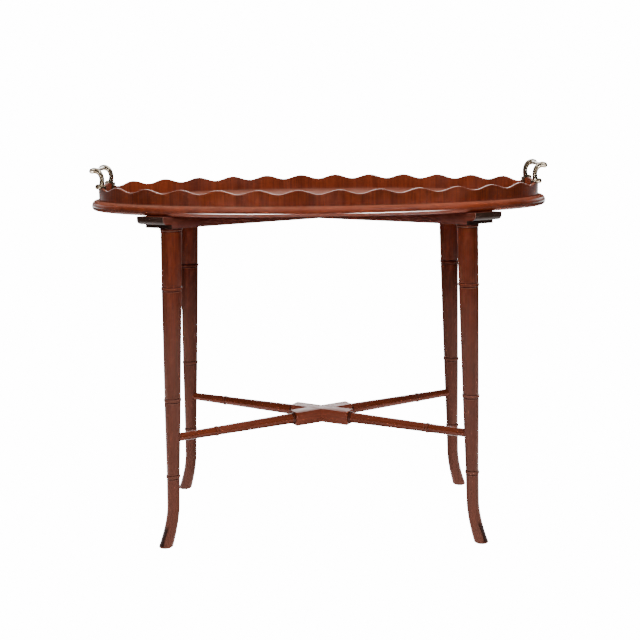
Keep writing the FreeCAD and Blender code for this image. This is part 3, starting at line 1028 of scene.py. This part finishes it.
@dataclass
class Handles:
    """Two brass handles, each with two scroll arms and a turned grip."""

    material: Material
    gallery: Gallery
    arm_offset: float = 40 * MM
    height: float = 30 * MM
    overhang: float = 14 * MM
    waist_radius: float = 3.8 * MM
    head_radius: float = 4.6 * MM
    arm_width: float = 7 * MM
    least_width_share: float = 0.6
    arm_steps: int = 40
    arm_facets: int = 24
    heading_share: float = 0.01
    cap_turns: tuple[float, ...] = (0.5, 1.0, 1.4)
    seat_gap: float = 0.15 * MM
    grip_radius: float = 2.2 * MM
    swell_radius: float = 2.6 * MM
    swell_power: float = 0.7
    swell_steps: int = 24
    bead_radius: float = 3.3 * MM
    bead_length: float = 2.4 * MM
    bead_steps: int = 8
    grip_facets: int = 32
    tang_length: float = 13 * MM
    tang_width: float = 8 * MM
    tang_thickness: float = 2 * MM
    tang_gap: float = 0.1 * MM
    tang_arris: float = 0.5 * MM
    screw_radius: float = 1.8 * MM
    screw_crown: float = 0.9 * MM
    screw_spread: float = 3 * MM
    screw_facets: int = 16
    crease: float = 40.0
    # An arm's middle line from its foot up to its head, as shares of the overhang and height,
    # and its girth at the same points, from 0 at the waist to 1 at the head
    spine: tuple = ((0.38, 0.03), (0.17, 0.03), (-0.04, 0.09), (-0.10, 0.22), (-0.13, 0.40),
                    (-0.05, 0.60), (0.21, 0.79), (0.63, 0.87), (0.95, 0.845))
    girth: tuple = (0.50, 0.60, 0.55, 0.28, 0.02, 0.22, 0.72, 0.96, 0.78)
    crown: float = field(init=False, default=0.0)

    def __post_init__(self) -> None:
        """Find the height that the arms stand on, the gallery's highest under a tang."""
        offsets = [self.arm_offset + self.tang_width * k / 4 for k in range(-2, 3)]
        self.crown = max(self.gallery.seat(offset)[2] for offset in offsets)

    @staticmethod
    def smooth(values: list, share: float) -> object:
        """Give a value on a smooth curve through evenly numbered ones.

        Args:
            values: The values, numbers or vectors.
            share: The place, from 0 to 1.

        Returns:
            The value there.
        """
        last = len(values) - 1
        # It stays just short of the last value, so that there is always a next one
        at = min(share * last, last - 1e-6)
        i = int(at)
        t = at - i
        a, b, c, d = (values[min(max(k, 0), last)] for k in (i - 1, i, i + 1, i + 2))
        return ((b * 2) + (c - a) * t + (a * 2 - b * 5 + c * 4 - d) * t * t
                + (b * 3 - a - c * 3 + d) * t * t * t) * 0.5

    def arm(self, name: str, node: str, side: int, end: int) -> None:
        """Sweep one scroll arm and set its tang behind the gallery.

        Args:
            name: The piece's name.
            node: The node that it stands for.
            side: 1 for the back arm and -1 for the front one, before the turn to its end.
            end: 1 for the right end and -1 for the left one.
        """
        foot, out, _ = self.gallery.seat(side * self.arm_offset)
        points = [Vector((foot.x + self.overhang * a, foot.y, self.crown + self.height * h))
                  for a, h in self.spine]
        radii = [self.waist_radius + (self.head_radius - self.waist_radius) * g for g in self.girth]
        bm = bmesh.new()
        rings, near = [], self.heading_share
        for i in range(self.arm_steps + 1):
            share = i / self.arm_steps
            here = self.smooth(points, share)
            ahead = (self.smooth(points, min(share + near, 1.0))
                     - self.smooth(points, max(share - near, 0.0)))
            rings.append(self.section(bm, here, ahead.normalized(), self.smooth(radii, share)))
        away = (points[0] - self.smooth(points, near)).normalized()
        start = self.cap(bm, points[0], away, -1, radii[0])
        away = (points[-1] - self.smooth(points, 1 - near)).normalized()
        skin(bm, start[::-1] + rings + self.cap(bm, points[-1], away, 1, radii[-1]))
        self.tang(bm, foot, out)
        self.finish(name, node, bm, end)

    def cap(self, bm: Mesh, middle: Vector, away: Vector, sense: int, radius: float) -> list:
        """Make the rings that round off one end of an arm.

        Args:
            bm: The mesh.
            middle: The middle of the end.
            away: The way out of the arm.
            sense: 1 where the sweep goes that way too, and -1 where it goes against it.
            radius: Half of the arm's thickness there.

        Returns:
            The rings, from the arm outwards.
        """
        return [self.section(bm, middle + away * radius * math.sin(t), away * sense,
                             radius * math.cos(t)) for t in self.cap_turns]

    def section(self, bm: Mesh, middle: Vector, ahead: Vector, radius: float) -> list:
        """Make one ring of the sweep, wider across than it is thick.

        Args:
            bm: The mesh.
            middle: The ring's middle.
            ahead: The way that the sweep goes.
            radius: Half of its thickness.

        Returns:
            The ring's vertices.
        """
        across = Vector((0.0, 1.0, 0.0))
        up = across.cross(ahead)
        least = self.least_width_share
        wide = self.arm_width / 2 * (least + (1 - least) * radius / self.head_radius)
        wide *= min(radius / self.waist_radius, 1.0)
        count = self.arm_facets
        return ring(bm, count, lambda i: middle + up * radius * math.cos(FULL_TURN * i / count)
                    + across * wide * math.sin(FULL_TURN * i / count))

    def tang(self, bm: Mesh, foot: Vector, out: Vector) -> None:
        """Add the flat tang, its neck over the gallery and its two screw heads.

        Args:
            bm: The mesh.
            foot: The gallery's outer point.
            out: The outward direction.
        """
        others = set(bm.verts)
        wall, half = self.gallery.thickness + self.tang_gap, self.tang_width / 2
        back, low = -wall - self.tang_thickness, self.crown + self.seat_gap
        verts = bar(bm, Vector((back, -half, low - self.tang_length)),
                    Vector((-wall, half, low + self.tang_thickness)))
        verts += bar(bm, Vector((-wall - self.tang_thickness / 2, -half, low)),
                     Vector((0.0, half, low + self.tang_thickness)))
        soften(bm, crisp_edges(verts), self.tang_arris, ARRIS_FACETS)
        shape = Matrix.Diagonal((self.screw_crown, self.screw_radius, self.screw_radius, 1.0))
        for level in (-self.screw_spread, self.screw_spread):
            head = bmesh.ops.create_uvsphere(bm, u_segments=self.screw_facets,
                                             v_segments=self.screw_facets // 2, radius=1.0)
            centre = Vector((back, 0.0, low - self.tang_length / 2 + level))
            move(bm, head["verts"], Matrix.Translation(centre) @ shape)
        turned = Matrix.Rotation(math.atan2(out.y, out.x), 4, "Z")
        move(bm, [vert for vert in bm.verts if vert not in others],
             Matrix.Translation((foot.x, foot.y, 0.0)) @ turned)

    def grip(self, name: str, node: str, end: int) -> None:
        """Turn one grip between its two arms.

        Args:
            name: The piece's name.
            node: The node that it stands for.
            end: 1 for the right end and -1 for the left one.
        """
        foot, _, _ = self.gallery.seat(self.arm_offset)
        across, up = self.spine[-2]
        half = foot.y - self.arm_width / 2
        bead = half - self.bead_length
        more, swell = self.bead_radius - self.grip_radius, self.swell_radius - self.grip_radius
        upper = [(0.0, half), (self.grip_radius, half)]
        for i in range(1, self.bead_steps):
            upper.append((self.grip_radius + more * math.sin(math.pi * i / self.bead_steps),
                          half - self.bead_length * i / self.bead_steps))
        middle = []
        for i in range(self.swell_steps + 1):
            share = i / self.swell_steps
            girth = math.sin(math.pi * share) ** self.swell_power if 0 < share < 1 else 0.0
            middle.append((self.grip_radius + swell * girth, bead - 2 * bead * share))
        lower = [(radius, -height) for radius, height in reversed(upper)]
        bm = bmesh.new()
        verts = turn(bm, upper + middle + lower, self.grip_facets)
        centre = Vector((foot.x + self.overhang * across, 0.0, self.crown + self.height * up))
        move(bm, verts, Matrix.Translation(centre) @ Matrix.Rotation(math.pi / 2, 4, "X"))
        self.finish(name, node, bm, end)

    def finish(self, name: str, node: str, bm: Mesh, end: int) -> None:
        """Turn a piece to its end of the tray and dress it.

        Args:
            name: The piece's name.
            node: The node that it stands for.
            bm: The mesh, as it is at the right end.
            end: 1 for the right end and -1 for the left one.
        """
        if end < 0:
            move(bm, bm.verts[:], Matrix.Rotation(math.pi, 4, "Z"))
        Piece(name, Body.TRAY, Slot.BRASS, self.material, (node,), self.crease).make(bm)

    def build(self) -> None:
        """Build both handles."""
        self.arm("arm_right_back", "handle_right_arm_back", 1, 1)
        self.arm("arm_right_front", "handle_right_arm_front", -1, 1)
        self.arm("arm_left_front", "handle_left_arm_front", 1, -1)
        self.arm("arm_left_back", "handle_left_arm_back", -1, -1)
        self.grip("grip_right", "handle_right_grip", 1)
        self.grip("grip_left", "handle_left_grip", -1)


@dataclass(frozen=True)
class BambooRing:
    """A turned ring like a bamboo joint: a bead between two grooves with painted shade, and a
    painted highlight line below.
    """

    height: float = 5 * MM
    proud: float = 1.0 * MM
    groove: float = 0.45 * MM
    steps: int = 8
    # Painted highlight on the bead's crown
    bead_highlight: float = 0.14
    # Place as a share of half the ring's height, depth as a share of the groove, and the edge
    # mark: negative for painted shade in the grooves, positive for the painted highlight line below
    below: tuple = ((-1.9, 0.0, 0.0), (-1.7, 0.0, 0.7), (-1.5, 0.0, 0.0), (-1.15, 1.0, -0.9),
                    (-1.0, 0.0, -0.8))
    above: tuple = ((1.0, 0.0, -0.8), (1.15, 1.0, -0.9), (1.5, 0.0, 0.0))

    def points(self, place: float, radius: float) -> list[tuple[float, float, float]]:
        """Give the ring's outline.

        Args:
            place: Its middle along the axis.
            radius: The shaft's radius there.

        Returns:
            Radius, place and edge mark for painted shade and highlight of each point, with the place
            rising.
        """
        half = self.height / 2
        below, above = ([(radius - self.groove * depth, place + half * share, wear)
                         for share, depth, wear in side] for side in (self.below, self.above))
        turns = [math.pi * i / self.steps for i in range(1, self.steps)]
        bead = [(radius + self.proud * math.sin(t), place - half * math.cos(t), self.bead_highlight)
                for t in turns]
        return below + bead + above


@dataclass
class TopBeams:
    """The two crossed beams that carry the tray."""

    material_a: Material
    material_b: Material
    angle: float = CROSS_ANGLE
    width: float = 36 * MM
    depth: float = 18 * MM
    reach: float = 284 * MM
    top: float = BOARD_UNDERSIDE
    nose_radius: float = 6.2 * MM
    nose_facets: int = 10
    nose_depth: float = 12.4 * MM
    step_back: float = 10.8 * MM
    half_length: float = BOARD_HALF_LENGTH
    half_width: float = BOARD_HALF_WIDTH
    arris: float = 0.7 * MM
    corner_facets: int = 2
    tip_angle: float = 50.0
    upright_angle: float = 30.0
    end_share: float = 1.2
    side_facing: float = 0.2
    end_facing: float = 0.12
    crease: float = 34.0

    def heading(self, angle: float) -> tuple[Vector, Vector]:
        """Give where a beam ends.

        Args:
            angle: The beam's angle in degrees.

        Returns:
            The end's point, and the direction square to the board's edge there.
        """
        turned = math.radians(angle)
        there = Vector((math.cos(turned), math.sin(turned), 0.0)) * self.reach
        slope = Vector((there.x / self.half_length ** 2, there.y / self.half_width ** 2, 0.0))
        return there, slope.normalized()

    def corners(self, depth: float) -> tuple[Vector, Vector]:
        """Give the corners of a long bar along X that hangs from the beams' top by a depth."""
        half = Vector((self.half_length, self.width / 2, 0.0))
        return Vector((0.0, 0.0, self.top - depth)) - half, Vector((0.0, 0.0, self.top)) + half

    def core(self, bm: Mesh, angle: float, lap: Band) -> None:
        """Make the full-depth part of a beam, halved at the crossing.

        Args:
            bm: The mesh.
            angle: The beam's angle in degrees.
            lap: The heights between which it goes on through the crossing.
        """
        there, normal = self.heading(angle)
        verts = halved_bar(bm, *self.corners(self.depth), lap, -2 * angle, self.arris)
        move(bm, verts, Matrix.Rotation(math.radians(angle), 4, "Z"))
        for sign in (1, -1):
            verts = trim(bm, verts, (there - normal * self.step_back) * sign, normal * sign)

    def nose(self, bm: Mesh, angle: float, sign: int) -> None:
        """Make the shallow rounded end of a beam, parallel to the board's edge.

        Args:
            bm: The mesh.
            angle: The beam's angle in degrees.
            sign: Which of the two ends.
        """
        there, normal = self.heading(angle)
        low, high = self.corners(self.nose_depth)
        others = set(bm.verts)
        verts = bar(bm, low, high)
        move(bm, verts, Matrix.Rotation(math.radians(angle), 4, "Z"))
        verts = trim(bm, verts, there * sign, normal * sign)
        verts = trim(bm, verts, (there - normal * self.step_back) * sign, normal * -sign)

        def at_end(edge: bmesh.types.BMEdge) -> bool:
            """Say whether an edge lies on the beam's end."""
            return all(abs((vert.co - there * sign).dot(normal)) < self.arris
                       for vert in edge.verts)

        end = [edge for edge in crisp_edges(verts, self.tip_angle) if at_end(edge)]
        tip = [edge for edge in end if all(vert.co.z < low.z + self.arris for vert in edge.verts)]
        soften(bm, tip, self.nose_radius, self.nose_facets)
        verts = [vert for vert in bm.verts if vert not in others]
        upright = [edge for edge in crisp_edges(verts, self.upright_angle) if at_end(edge)
                   and abs(edge.verts[0].co.z - edge.verts[1].co.z) > self.arris]
        before, corner = set(bm.faces), self.arris * 2
        soften(bm, upright, corner, self.corner_facets)
        # The rounded upright corners' small faces get a painted highlight
        layer = bm.faces.layers.float[END_GRAIN_AND_CORNER_HIGHLIGHT]
        for face in set(bm.faces) - before:
            if face.calc_area() < corner * self.nose_depth:
                face[layer] = PAINTED_CORNER_HIGHLIGHT

    def mark_ends(self, bm: Mesh, angle: float) -> None:
        """Mark the faces of end grain at both ends of a beam.

        Args:
            bm: The mesh, with the layer of end grain.
            angle: The beam's angle in degrees.
        """
        there, normal = self.heading(angle)
        across = Vector((0.0, 0.0, 1.0)).cross(normal)
        layer = bm.faces.layers.float[END_GRAIN_AND_CORNER_HIGHLIGHT]
        bmesh.ops.recalc_face_normals(bm, faces=bm.faces[:])
        for face in bm.faces:
            middle = face.calc_center_median()
            sign = 1 if middle.dot(normal) > 0 else -1
            out = normal * sign
            near = (middle - there * sign).dot(out) > -self.step_back * self.end_share
            level = abs(face.normal.dot(across)) < self.side_facing
            if near and level and not face[layer] and face.normal.dot(out) > self.end_facing:
                face[layer] = CUT_END

    def build(self) -> None:
        """Build both beams."""
        middle, under, over = self.top - self.depth / 2, self.top - self.depth, self.top
        for letter, angle, material, lap in (
                ("a", self.angle, self.material_a, (under, middle)),
                ("b", -self.angle, self.material_b, (middle, over))):
            bm = bmesh.new()
            bm.faces.layers.float.new(END_GRAIN_AND_CORNER_HIGHLIGHT)
            self.core(bm, angle, lap)
            self.nose(bm, angle, 1)
            self.nose(bm, angle, -1)
            self.mark_ends(bm, angle)
            Piece(f"beam_{letter}", Body.STAND, Slot.STAND, material, (f"top_beam_{letter}",),
                  self.crease).make(bm)


@dataclass
class Legs:
    """Four turned legs with collars, rings and sabre feet."""

    material: Material
    beam_angle: float = CROSS_ANGLE
    spread: float = 251 * MM
    tilt: float = 1.6
    top: float = 496 * MM
    collar_radius: float = 17 * MM
    collar_height: float = 4.5 * MM
    collar_lip: float = 0.8 * MM
    # Painted shade on the collar's face, darkening up to the beams
    collar_darkening: float = -0.3
    # Height and radius at the top, the three rings and the foot's neck
    stations: tuple = ((496 * MM, 15.9 * MM), (404 * MM, 15.0 * MM), (232 * MM, 12.4 * MM),
                       (111 * MM, 10.0 * MM), (64 * MM, 9.7 * MM))
    ring_shape: BambooRing = BambooRing()
    foot_start: float = FOOT_START
    foot_sweep: float = FOOT_SWEEP
    sole_radius: float = 11.2 * MM
    sweep_power: float = SWEEP_POWER
    girth_power: float = 2.0
    sole_round: float = 1.0 * MM
    foot_steps: int = 28
    facets: int = 72
    crease: float = 50.0

    def radius_at(self, height: float) -> float:
        """Give the shaft's or the foot's radius.

        Args:
            height: The height.

        Returns:
            The radius there.
        """
        for (high, wide), (low, thin) in zip(self.stations, self.stations[1:]):
            if height >= low:
                return thin + (wide - thin) * (height - low) / (high - low)
        neck, share = self.stations[-1][1], 1 - height / self.foot_start
        return neck + (self.sole_radius - neck) * share ** self.girth_power

    def axis_at(self, height: float) -> float:
        """Give how far out the shaft's middle stands at a height, without the foot's sweep."""
        return self.spread + math.tan(math.radians(self.tilt)) * (self.top - height)

    def profile(self) -> list[tuple[float, ...]]:
        """Give the leg's half outline.

        Returns:
            Radius, height and edge mark for painted shade and highlights of its points, from its sole
            up to its top.
        """
        start, rest = self.sole_round, self.foot_start - self.sole_round
        heights = [start + rest * i / self.foot_steps for i in range(self.foot_steps + 1)]
        points = [(0.0, 0.0), (self.sole_radius - self.sole_round, 0.0)]
        points += [(self.radius_at(height), height) for height in heights]
        for height, _ in reversed(self.stations[1:-1]):
            points += self.ring_shape.points(height, self.radius_at(height))
        low, wide, lip = self.top - self.collar_height, self.collar_radius, self.collar_lip
        shaft = self.radius_at(low)
        # The collar: painted shade where it meets the shaft and up to its top under the beams, and a
        # painted highlight on its lower edge
        return points + [
            (shaft, low - lip * 2, 0.0), (shaft, low, PAINTED_SHADE), (wide - lip, low, PAINTED_HIGHLIGHT),
            (wide, low + lip, PAINTED_HIGHLIGHT), (wide, low + lip * 2, self.collar_darkening),
            (wide, self.top, PAINTED_SHADE), (0.0, self.top)]

    def shaped(self, point: Vector) -> Vector:
        """Lean the shaft and sweep the foot out, keeping the sole level.

        Args:
            point: A point of the straight leg.

        Returns:
            Where it goes.
        """
        rest = max(0.0, 1 - point.z / self.foot_start)
        out = self.axis_at(point.z) + self.foot_sweep * rest ** self.sweep_power
        return Vector((point.x + out, point.y, point.z))

    def leg(self, name: str, node: str, angle: float) -> None:
        """Make one leg.

        Args:
            name: The piece's name.
            node: The node that it stands for.
            angle: Where it stands, in degrees from X.
        """
        bm = bmesh.new()
        bm.verts.layers.float.new(EDGE_SHADE_HIGHLIGHT_WEAR)
        verts = turn(bm, self.profile(), self.facets)
        for vert in verts:
            vert.co = self.shaped(vert.co)
        move(bm, verts, Matrix.Rotation(math.radians(angle), 4, "Z"))
        Piece(name, Body.STAND, Slot.STAND, self.material, (node,), self.crease).make(bm)

    def build(self) -> None:
        """Build the four legs."""
        self.leg("leg_a", "leg_back_right", self.beam_angle)
        self.leg("leg_b", "leg_back_left", 180 - self.beam_angle)
        self.leg("leg_c", "leg_front_left", 180 + self.beam_angle)
        self.leg("leg_d", "leg_front_right", -self.beam_angle)


@dataclass
class Stretchers:
    """Two turned stretchers, square where they are halved into each other."""

    material_a: Material
    material_b: Material
    legs: Legs
    angle: float = CROSS_ANGLE
    height: float = 171.5 * MM
    square: float = 22 * MM
    square_half: float = 52 * MM
    collar_radius: float = 9.6 * MM
    collar_length: float = 3.5 * MM
    centre_radius: float = 8.4 * MM
    leg_radius: float = 6.2 * MM
    ring_place: float = 187.5 * MM
    collar_lip: float = 0.9 * MM
    # Darker over the collar's outer corner
    collar_darkening: float = -0.6
    ring_shape: BambooRing = BambooRing(groove=0.35 * MM)
    arris: float = 0.8 * MM
    facets: int = 48
    crease: float = 40.0

    def reach(self) -> float:
        """Give how far from the centre a stretcher meets the leg's middle."""
        return self.legs.axis_at(self.height)

    def radius_at(self, place: float) -> float:
        """Give the turned arm's radius at a distance from the centre."""
        share = (place - self.square_half) / (self.reach() - self.square_half)
        return self.centre_radius + (self.leg_radius - self.centre_radius) * share

    def profile(self) -> list[tuple[float, ...]]:
        """Give one arm's half outline.

        Returns:
            Radius, place and edge mark for painted shade and highlights of its points, from inside the
            square to inside the leg.
        """
        start, collar = self.square_half - self.arris, self.square_half + self.collar_length
        end = self.reach() - self.leg_radius
        wide, lip, darkening = self.collar_radius, self.collar_lip, self.collar_darkening
        neck = self.radius_at(collar)
        turned_ring = self.ring_shape.points(self.ring_place, self.radius_at(self.ring_place))
        # The collar: painted shade where it meets the square and the shaft, and darker over its outer
        # corner
        return [(0.0, start), (wide, start, PAINTED_SHADE), (wide, collar - lip, darkening),
                (wide - lip, collar, darkening), (neck, collar, PAINTED_SHADE), (neck, collar + lip * 2, 0.0),
                *turned_ring, (self.radius_at(end), end), (0.0, end)]

    def build(self) -> None:
        """Build both stretchers."""
        half = self.square / 2
        corner = Vector((self.square_half, half, half))
        for letter, angle, material, lap in (
                ("a", self.angle, self.material_a, (-half, 0.0)),
                ("b", -self.angle, self.material_b, (0.0, half))):
            bm = bmesh.new()
            bm.verts.layers.float.new(EDGE_SHADE_HIGHLIGHT_WEAR)
            halved_bar(bm, -corner, corner, lap, -2 * angle, self.arris)
            for sign in (1, -1):
                verts = turn(bm, self.profile(), self.facets)
                move(bm, verts, Matrix.Rotation(sign * math.pi / 2, 4, "Y"))
            move(bm, bm.verts[:], Matrix.Translation((0.0, 0.0, self.height))
                 @ Matrix.Rotation(math.radians(angle), 4, "Z"))
            Piece(f"cross_rail_{letter}", Body.STAND, Slot.STAND, material,
                  (f"stretcher_{letter}",), self.crease).make(bm)


# Studio


@dataclass(frozen=True)
class Lamp:
    """One soft square lamp that faces the table, with its power in watts."""

    name: str
    place: tuple[float, float, float]
    size: float
    power: float
    aim: tuple[float, float, float] = (0.0, 0.0, 0.35)

    def hang(self) -> None:
        """Put the lamp into the scene."""
        light = bpy.data.lights.new(self.name, "AREA")
        light.size = self.size
        light.energy = self.power
        obj = link(self.name, light)
        obj.location = self.place
        way = Vector(self.aim) - Vector(self.place)
        obj.rotation_euler = way.to_track_quat("-Z", "Y").to_euler()


@dataclass(frozen=True)
class Studio:
    """A white floor, soft light and the camera.

    The floor's bands are distances in metres along X, along Y or all round, and the room's are
    shares of a direction's way back or up.
    """

    camera_place: Vector = Vector((-7.07 * MM, -1751.44 * MM, 682.4 * MM))
    pitch: float = 9.0975
    yaw: float = -0.2425
    roll: float = -0.7799
    lens: float = 61.875
    sensor: float = 36.0
    shift: float = -0.07025
    far: float = 100.0
    floor_size: float = 30.0
    paper: Colour = (0.05, 0.05, 0.05)
    paper_roughness: float = 0.9
    paper_glow: float = 15.0
    paper_bounce: float = 0.4
    bounce_round: Band = (0.7, 0.3)
    paper_glint: float = 72.0
    glint_inner: Band = (0.2, 0.5)
    glint_outer: Band = (1.6, 0.8)
    glint_near: Band = (-1.4, -1.5)
    glint_far: Band = (-1.95, -1.8)
    paper_far: float = 0.06
    paper_sheen: float = 6.5
    sheen_round: Band = (1.6, 0.7)
    sheen_ahead: Band = (0.0, -0.25)
    feet_aside: Band = (0.15, 0.21)
    feet_behind: Band = (0.35, 0.20)
    paper_sweep: float = 2.0
    sweep_behind: Band = (2.8, 4.5)
    room_glow: float = 15.0
    room_fill: float = 0.045
    room_front: float = 0.05
    room_back: float = 8.5
    back_turn: Band = (0.0, 0.9)
    back_rise: Band = (0.12, 0.24)
    back_fall: Band = (0.50, 0.34)
    lamps: tuple[Lamp, ...] = (
        Lamp("bank_left", (-0.9, -1.3, 2.3), size=1.0, power=9.5),
        Lamp("bank_right", (0.9, -1.3, 2.3), size=1.0, power=9.0),
        Lamp("low_left", (-1.1, -2.2, 2.0), size=0.6, power=10.4),
        Lamp("low_right", (1.1, -2.2, 2.0), size=0.6, power=10.2),
        Lamp("ceiling", (0.0, -0.25, 1.35), size=0.9, power=8.0),
        Lamp("back", (0.0, 2.4, 1.6), size=1.6, power=22.0))

    def build(self) -> None:
        """Set up everything that isn't part of the table."""
        self.floor()
        self.world()
        for lamp in self.lamps:
            lamp.hang()
        self.camera()

    def floor(self) -> None:
        """Lay the pale floor."""
        bm = bmesh.new()
        bmesh.ops.create_grid(bm, x_segments=1, y_segments=1, size=self.floor_size)
        mesh = bpy.data.meshes.new("studio_floor")
        bm.to_mesh(mesh)
        bm.free()
        floor = link("studio_floor", mesh)
        material, tree, shader = new_material("studio_paper")
        tree.feed(shader.inputs["Base Color"], self.paper)
        shader.inputs["Roughness"].default_value = self.paper_roughness
        tree.feed(shader.inputs["Emission Color"], WHITE)
        rays = tree.add("LightPath").outputs
        bounced = tree.band(tree.length(tree.place()), *self.bounce_round, 0.0, self.paper_bounce)
        light = tree.plus(tree.times(rays["Is Camera Ray"], self.paper_glow),
                          tree.times(rays["Is Glossy Ray"], self.mirrored_paper(tree)),
                          tree.times(rays["Is Diffuse Ray"], bounced))
        tree.feed(shader.inputs["Emission Strength"], light)
        mesh.materials.append(material)

    def mirrored_paper(self, tree: Tree) -> Socket:
        """Build the paper's brightness in reflections.

        Args:
            tree: The paper's tree.

        Returns:
            The brightness: strong left and right in front, even round the table's front and
            its feet, and soft far behind.
        """
        place = tree.place()
        axes = tree.axes(place)
        aside = tree.math("ABSOLUTE", axes["X"])
        sides = tree.times(tree.band(aside, *self.glint_inner), tree.band(aside, *self.glint_outer))
        front = tree.times(tree.band(axes["Y"], *self.glint_near), tree.band(axes["Y"], *self.glint_far))
        feet = tree.times(tree.band(aside, *self.feet_aside), tree.band(axes["Y"], *self.feet_behind))
        ahead = tree.math("MAXIMUM", tree.band(axes["Y"], *self.sheen_ahead), feet)
        near = tree.times(tree.band(tree.length(place), *self.sheen_round), ahead)
        near = tree.band(near, 0.0, 1.0, self.paper_far, self.paper_sheen)
        sweep = tree.band(axes["Y"], *self.sweep_behind, 0.0, self.paper_sweep)
        return tree.plus(tree.times(sides, front, self.paper_glint), tree.plus(near, sweep))

    def world(self) -> None:
        """Fill the room with soft white light."""
        world = bpy.data.worlds.new("white_room")
        world.use_nodes = True
        tree = Tree(world.node_tree)
        ways = tree.axes(tree.add("TexCoord").outputs["Generated"])
        rays = tree.add("LightPath").outputs
        rise = tree.times(tree.band(ways["Z"], *self.back_rise), tree.band(ways["Z"], *self.back_fall))
        back = tree.times(tree.band(ways["Y"], *self.back_turn), rise)
        back = tree.band(back, 0.0, 1.0, self.room_front - self.room_fill, self.room_back)
        light = tree.plus(tree.times(rays["Is Camera Ray"], self.room_glow),
                          tree.times(rays["Is Glossy Ray"], back), self.room_fill)
        background = tree.add("Background", Color=WHITE, Strength=light)
        tree.feed(tree.add("OutputWorld").inputs["Surface"], background.outputs[0])
        bpy.context.scene.world = world

    def camera(self) -> None:
        """Set the camera where the photograph was taken from."""
        camera = bpy.data.cameras.new("view")
        camera.lens = self.lens
        camera.sensor_width = self.sensor
        camera.shift_y = self.shift
        camera.clip_end = self.far
        obj = link("view", camera)
        obj.matrix_world = (Matrix.Translation(self.camera_place)
                            @ Matrix.Rotation(math.radians(self.yaw), 4, "Z")
                            @ Matrix.Rotation(math.radians(90 - self.pitch), 4, "X")
                            @ Matrix.Rotation(math.radians(self.roll), 4, "Z"))
        bpy.context.scene.camera = obj


def dress_node(node: str, material: Material) -> None:
    """Give a kept solid its finish.

    Args:
        node: The solid's name.
        material: Its finish.
    """
    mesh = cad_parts[node].data
    mesh.materials.clear()
    mesh.materials.append(material)
    logger.info("dressed %s", node)


def crossed(effects: SharedEffects, name: str, dark: Colour, light: Colour) -> list[Material]:
    """Build the finishes of two crossed pieces, each with the grain along it.

    Args:
        effects: The shared node groups.
        name: What the pieces are.
        dark: The grain's dark colour.
        light: Its light colour.

    Returns:
        The finish of the first piece and of the second one.
    """
    return [MahoganyFinish(f"{name}_mahogany_{letter}", dark, light,
                           turn_degrees=angle).material(effects)
            for letter, angle in (("a", CROSS_ANGLE), ("b", -CROSS_ANGLE))]


def main() -> None:
    """Build the table and its studio in order."""
    logging.basicConfig(level=logging.INFO, format="%(name)s: %(message)s")
    effects = SharedEffects.build()
    # The board's pale ledge band is dust together with a painted sheen
    board = MahoganyFinish(
        "board_mahogany", dark=(0.14, 0.024, 0.009), light=(0.36, 0.062, 0.020), roughness=0.34,
        specular=0.2, coat_band=(518.4 * MM, 522.4 * MM),
        dust_and_sheen=DustAndSheenBand(bare=524.6 * MM, full=528.2 * MM)).material(effects)
    wall = MahoganyFinish(
        "gallery_mahogany", dark=(0.11, 0.020, 0.008), light=(0.28, 0.052, 0.018),
        run=GrainRun.UPRIGHT, roughness=0.32, specular=0.15,
        dust_and_sheen=DustAndSheenBand(bare=531.5 * MM, full=529.2 * MM)).material(effects)
    # The legs pale lower down with a painted floor sheen
    turned_wood = MahoganyFinish(
        "leg_mahogany", dark=(0.120, 0.023, 0.0095), light=(0.280, 0.054, 0.022),
        run=GrainRun.UPRIGHT, roughness=0.42, specular=0.06, floor_sheen_band=(450 * MM, 270 * MM),
        toe=ToeReflection()).material(effects)
    rails = crossed(effects, "rail", dark=(0.14, 0.026, 0.010), light=(0.33, 0.064, 0.025))
    # The beams take a darker copy of the rails' finish: painted shade under the board's overhang
    beams = crossed(effects, "beam", dark=(0.085, 0.016, 0.007), light=(0.20, 0.038, 0.016))
    brass = BrassFinish().material(effects)
    steel = SteelFinish().material(effects)
    TrayBoard(board).build()
    gallery = Gallery(wall)
    gallery.build()
    Handles(brass, gallery).build()
    TopBeams(*beams).build()
    legs = Legs(turned_wood)
    legs.build()
    Stretchers(*rails, legs).build()
    dress_node("locating_pegs", turned_wood)
    dress_node("lap_screws", steel)
    Studio().build()


if __name__ == "__main__":
    main()
